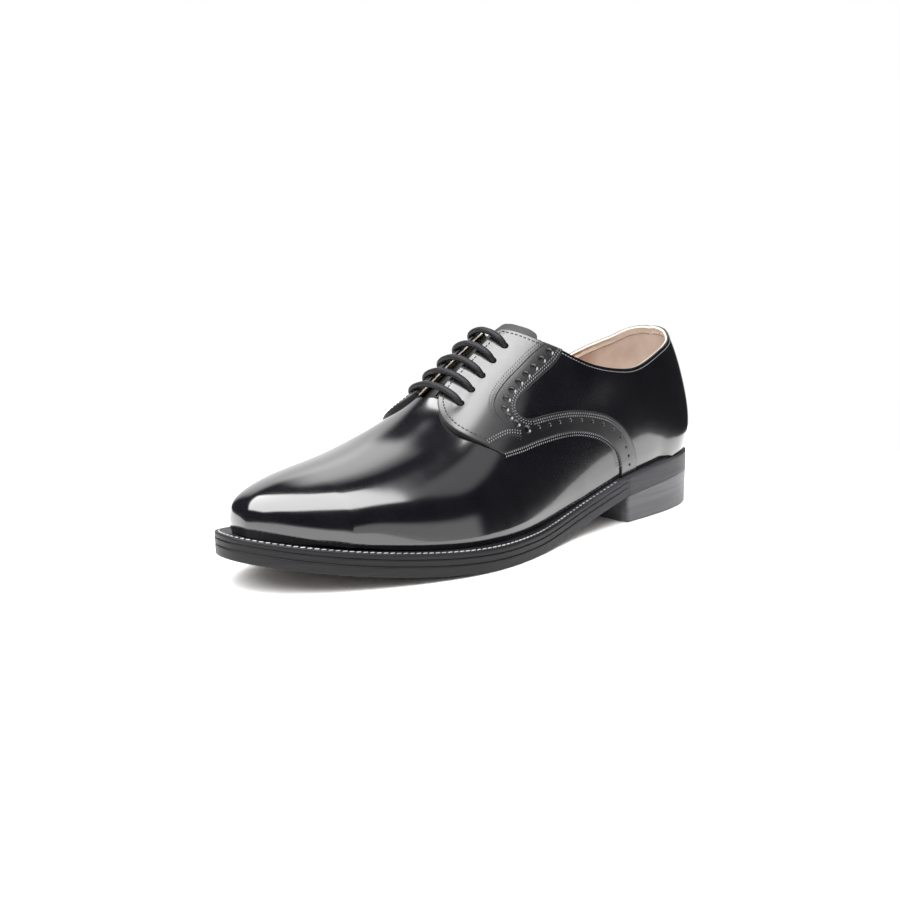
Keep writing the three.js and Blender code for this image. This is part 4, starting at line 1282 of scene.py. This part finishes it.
def heel_ring(distance):
    """The heel's outline in plan, inset by a distance: round the back, then across the breast."""
    ring = inset(SOLE_EDGE, distance)
    start = int(np.argmin(ring[:, 0]))
    ring = np.roll(ring, -start, 0)
    keep = ring[:, 0] < breast_x(np.clip(ring[:, 1], -half_heel, half_heel)) - distance * 0.2
    first_gap = int(np.argmin(keep))
    last_gap = len(keep) - 1 - int(np.argmin(keep[::-1]))
    outer = ring[:first_gap]
    inner = ring[last_gap + 1 :]
    wall = np.vstack([inner, outer])
    lengths = run_length(wall)
    at = np.linspace(0, lengths[-1], 150)
    wall = np.column_stack([np.interp(at, lengths, wall[:, 0]), np.interp(at, lengths, wall[:, 1])])
    side = np.linspace(wall[-1, 1], wall[0, 1], 42)[1:-1]
    back = breast_x(side) - distance * 0.2
    blend = np.minimum(np.arange(1, 41), np.arange(1, 41)[::-1]) / 3.0
    near = np.where(np.arange(40) < 20, wall[-1, 0], wall[0, 0])
    back = near + (back - near) * np.clip(blend, 0, 1)
    return np.vstack([wall, np.column_stack([back, side])])


rings = []
for distance, height in ((6.0, 0.0), (1.2, 0.0), (0.5, 0.12), (0.15, 0.4)):
    ring = heel_ring(HEEL_TAPER + distance)
    rings.append(np.column_stack([ring, np.full(len(ring), height)]))
for share in np.linspace(0.03, 0.99, 12):
    ring = heel_ring(HEEL_TAPER * (1 - share))
    rings.append(np.column_stack([ring, share * (tread_height(ring[:, 0]) + 0.15)]))
heel_grid = np.array(rings)
heel_columns = heel_grid.shape[1]
heel_faces = strip_faces(len(rings), heel_columns, True)
heel_points = heel_grid.reshape(-1, 3)
centre_index = len(heel_points)
heel_points = np.vstack([heel_points, [heel_grid[0].mean(0)]])
heel_faces += [(i, (i + 1) % heel_columns, centre_index) for i in range(heel_columns)]
heel_piece = mesh_object("heel_stack", heel_points, heel_faces, heel_ink_painted_sheen)
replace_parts(heel_piece, "top_piece", "heel_lift_1", "heel_lift_2")

# Welt stitches, in a row near the welt's edge that stops before the heel
WELT_PITCH = 3.1
WELT_ROW_INSET = 2.0
WELT_ROW_START = 6.0
welt_thread = Stitches()
row_loop = inset(SOLE_EDGE, WELT_ROW_INSET)
row_points = np.column_stack([row_loop, feather_height(row_loop[:, 0]) + 0.02])
length_at = run_length(row_points)
at = np.arange(0, length_at[-1], WELT_PITCH)
centres = np.column_stack([np.interp(at, length_at, row_points[:, k]) for k in range(3)])
aheads = unit(np.gradient(centres, axis=0))
keep = centres[:, 0] > HEEL_LENGTH + WELT_ROW_START
ups = np.tile([0.0, 0.0, 1.0], (len(centres), 1))
welt_thread.humps(centres[keep], aheads[keep], ups[keep], 2.5, 0.95, 0.42)
welt_thread.build("welt_stitches", thread_grey, "sole_edge")

# Two columns of small pricks down the sole's edge where the heel begins: small humps painted near black as
# the shade of their pits
PRICK_STEP = 1.45
PRICK_SPACING = 2.0
pricks = Stitches()
outer_side = SOLE_EDGE[:, 1] > 0
for side_mask in (outer_side, ~outer_side):
    edge_line = SOLE_EDGE[side_mask]
    for place in (HEEL_LENGTH - PRICK_SPACING / 2, HEEL_LENGTH + PRICK_SPACING / 2):
        nearest = edge_line[np.argmin(np.abs(edge_line[:, 0] - place))]
        heights = np.arange(0.9, PACKAGE - 0.6, PRICK_STEP)
        spots = np.column_stack([np.tile(nearest, (len(heights), 1)), tread_height(nearest[:1]) + heights])
        outward = np.tile([0.0, math.copysign(1.0, nearest[1]), 0.0], (len(heights), 1))
        upward = np.tile([0.0, 0.0, 1.0], (len(heights), 1))
        pricks.humps(spots, upward, outward, 0.95, 0.85, 0.14)
pricks.build("breast_pricks", hole_shade, "sole_edge")

# Insole under a pale sock, dished a little
SOCK_DISH = 0.6
sock_piece = board(
    "sock",
    inset(FEATHER, VAMP_WALL + 2 * GAP),
    0.1,
    100,
    np.linspace(0, 1, 13),
    lambda x, share: feather_height(x) + 0.5 - SOCK_DISH * (1 - (2 * share - 1) ** 2),
    sock_leather,
)
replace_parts(sock_piece, "insole")

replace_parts(bpy.data.objects["quarters"], "upper")

# Camera, found by matching the photograph
CAMERA_PLACE = np.array([578.7, 437.6, 155.4])
CAMERA_YAW = 227.48
CAMERA_PITCH = -10.17
CAMERA_ROLL = -1.24
CAMERA_FOCAL_PIXELS = 1203.2
IMAGE_WIDTH = 900
SENSOR = 36.0

yaw, pitch, roll = (math.radians(a) for a in (CAMERA_YAW, CAMERA_PITCH, CAMERA_ROLL))
look = Vector((math.cos(pitch) * math.cos(yaw), math.cos(pitch) * math.sin(yaw), math.sin(pitch)))
level_right = look.cross(Vector((0, 0, 1))).normalized()
level_up = level_right.cross(look)
right = math.cos(roll) * level_right + math.sin(roll) * level_up
up = -math.sin(roll) * level_right + math.cos(roll) * level_up
camera_data = bpy.data.cameras.new("photo_camera")
camera_data.sensor_width = SENSOR
camera_data.lens = CAMERA_FOCAL_PIXELS / IMAGE_WIDTH * SENSOR
camera_data.clip_start = 0.01
camera = in_scene("photo_camera", camera_data)
axes = Matrix((right, up, -look)).transposed().to_4x4()
camera.matrix_world = Matrix.Translation(Vector((CAMERA_PLACE + SHIFT) * MM)) @ axes
bpy.context.scene.camera = camera

bpy.context.scene.view_settings.view_transform = "Standard"

# Floor: it ends on the near side and behind the heel, where the real set is dark
FLOOR_NEAR_EDGE = 0.4
FLOOR_BACK_EDGE = -0.36
FLOOR_REACH = 6.0
floor_mesh = bpy.data.meshes.new("studio_floor")
floor_corners = [
    (FLOOR_BACK_EDGE, -FLOOR_REACH, 0),
    (FLOOR_REACH, -FLOOR_REACH, 0),
    (FLOOR_REACH, FLOOR_NEAR_EDGE, 0),
    (FLOOR_BACK_EDGE, FLOOR_NEAR_EDGE, 0),
]
floor_mesh.from_pydata(floor_corners, [], [(0, 1, 2, 3)])
floor_paint = Paint("studio_floor")
floor_paint.values(Base_Color=(0.88, 0.87, 0.86, 1), Roughness=0.7, Specular_IOR_Level=0.2)
floor_mesh.materials.append(floor_paint.material)
in_scene("studio_floor", floor_mesh)

# World: a white room for the floor and the view, and a dark one with soft boxes for the gloss
world = bpy.data.worlds.new("studio")
bpy.context.scene.world = world
world.use_nodes = True
room = world.node_tree


def compute(operation, *values):
    node = room.nodes.new("ShaderNodeMath")
    node.operation = operation
    for socket, value in zip(node.inputs, values):
        if isinstance(value, (int, float)):
            socket.default_value = value
        else:
            room.links.new(value, socket)
    return node.outputs["Value"]


def soft_step(value, low, high):
    """0 at low and 1 at high, smooth between them."""
    node = room.nodes.new("ShaderNodeMapRange")
    node.interpolation_type = "SMOOTHSTEP"
    node.inputs["From Min"].default_value = low
    node.inputs["From Max"].default_value = high
    room.links.new(value, node.inputs["Value"])
    return node.outputs["Result"]


def product(*values):
    total = values[0]
    for value in values[1:]:
        total = compute("MULTIPLY", total, value)
    return total


def along_direction(azimuth, elevation):
    """The cosine between the ray and a direction in the room."""
    a, e = math.radians(azimuth), math.radians(elevation)
    parts = (math.cos(e) * math.cos(a), math.cos(e) * math.sin(a), math.sin(e))
    terms = [compute("MULTIPLY", axis, part) for axis, part in zip((ray_x, ray_y, ray_z), parts)]
    return compute("ADD", compute("ADD", terms[0], terms[1]), terms[2])


ray = room.nodes.new("ShaderNodeSeparateXYZ")
room.links.new(room.nodes.new("ShaderNodeTexCoord").outputs["Generated"], ray.inputs["Vector"])
ray_x, ray_y, ray_z = (ray.outputs[axis] for axis in "XYZ")

# The overhead box, in the plane one unit above the shoe
TOP_BOX = 7.6
height = compute("MAXIMUM", ray_z, 0.05)
plane_x = compute("DIVIDE", ray_x, height)
plane_y = compute("DIVIDE", ray_y, height)
bend = compute("MULTIPLY", soft_step(plane_y, -0.12, 0.14), 0.255)
near_line = compute("ADD", plane_y, compute("MULTIPLY", plane_x, 0.25))
top_box = product(
    soft_step(compute("ADD", plane_x, bend), -0.06, -0.01),
    soft_step(plane_x, 1.9, 1.4),
    soft_step(near_line, 0.86, 0.7),
    soft_step(plane_y, -0.95, -0.7),
    soft_step(ray_z, 0.3, 0.45),
)

# The bright wall behind the shoe: dim low down, brighter above the vamp
BACK_WALL = 2.0
BACK_GLOW = 0.95
level_length = compute("SQRT", compute("SUBTRACT", 1.0, compute("MULTIPLY", ray_z, ray_z)))
level_length = compute("MAXIMUM", level_length, 0.05)


def towards(azimuth):
    """The cosine between the ray's bearing and a bearing in the room."""
    return compute("DIVIDE", along_direction(azimuth, 0.0), level_length)


back_wall = product(
    soft_step(towards(-135.0), 0.93, 0.985),
    soft_step(ray_z, 0.35, 0.75),
    soft_step(ray_z, 0.95, 0.8),
)
back_glow = product(soft_step(towards(-125.0), 0.8, 0.97), soft_step(ray_z, 0.68, 0.5))

# A pale card low beside the toe: its top rises towards the near side
FRONT_CARD = 1.15
card_side = soft_step(towards(72.0), 0.52, 0.66)
card_top = compute("MULTIPLY", soft_step(towards(106.0), 0.8, 0.97), 0.2)
front_card = soft_step(compute("SUBTRACT", ray_z, card_top), 0.06, -0.06)
SIDE_GLOW = 0.7
side_glow = soft_step(along_direction(136.0, 47.0), 0.955, 0.99)

DARK_ROOM = 0.03
gloss = compute("ADD", product(top_box, TOP_BOX), DARK_ROOM)
for mask, brightness in (
    (back_wall, BACK_WALL),
    (back_glow, BACK_GLOW),
    (product(front_card, card_side), FRONT_CARD),
    (side_glow, SIDE_GLOW),
):
    gloss = compute("ADD", gloss, compute("MULTIPLY", mask, brightness))

# The diffuse light comes from all over, and more of it from above
FILL_LOW = 0.4
FILL_RISE = 1.5
path = room.nodes.new("ShaderNodeLightPath")
fill_here = compute("ADD", compute("MULTIPLY", compute("MAXIMUM", ray_z, 0.0), FILL_RISE), FILL_LOW)
diffuse = compute("MULTIPLY", path.outputs["Is Diffuse Ray"], fill_here)
camera_or_diffuse = compute("ADD", path.outputs["Is Camera Ray"], path.outputs["Is Diffuse Ray"])
not_white = compute("SUBTRACT", 1.0, camera_or_diffuse)
strength = compute("ADD", compute("MULTIPLY", gloss, not_white), diffuse)
strength = compute("ADD", strength, path.outputs["Is Camera Ray"])
background = room.nodes["Background"]
background.inputs["Color"].default_value = (1.0, 1.0, 1.0, 1.0)
room.links.new(strength, background.inputs["Strength"])
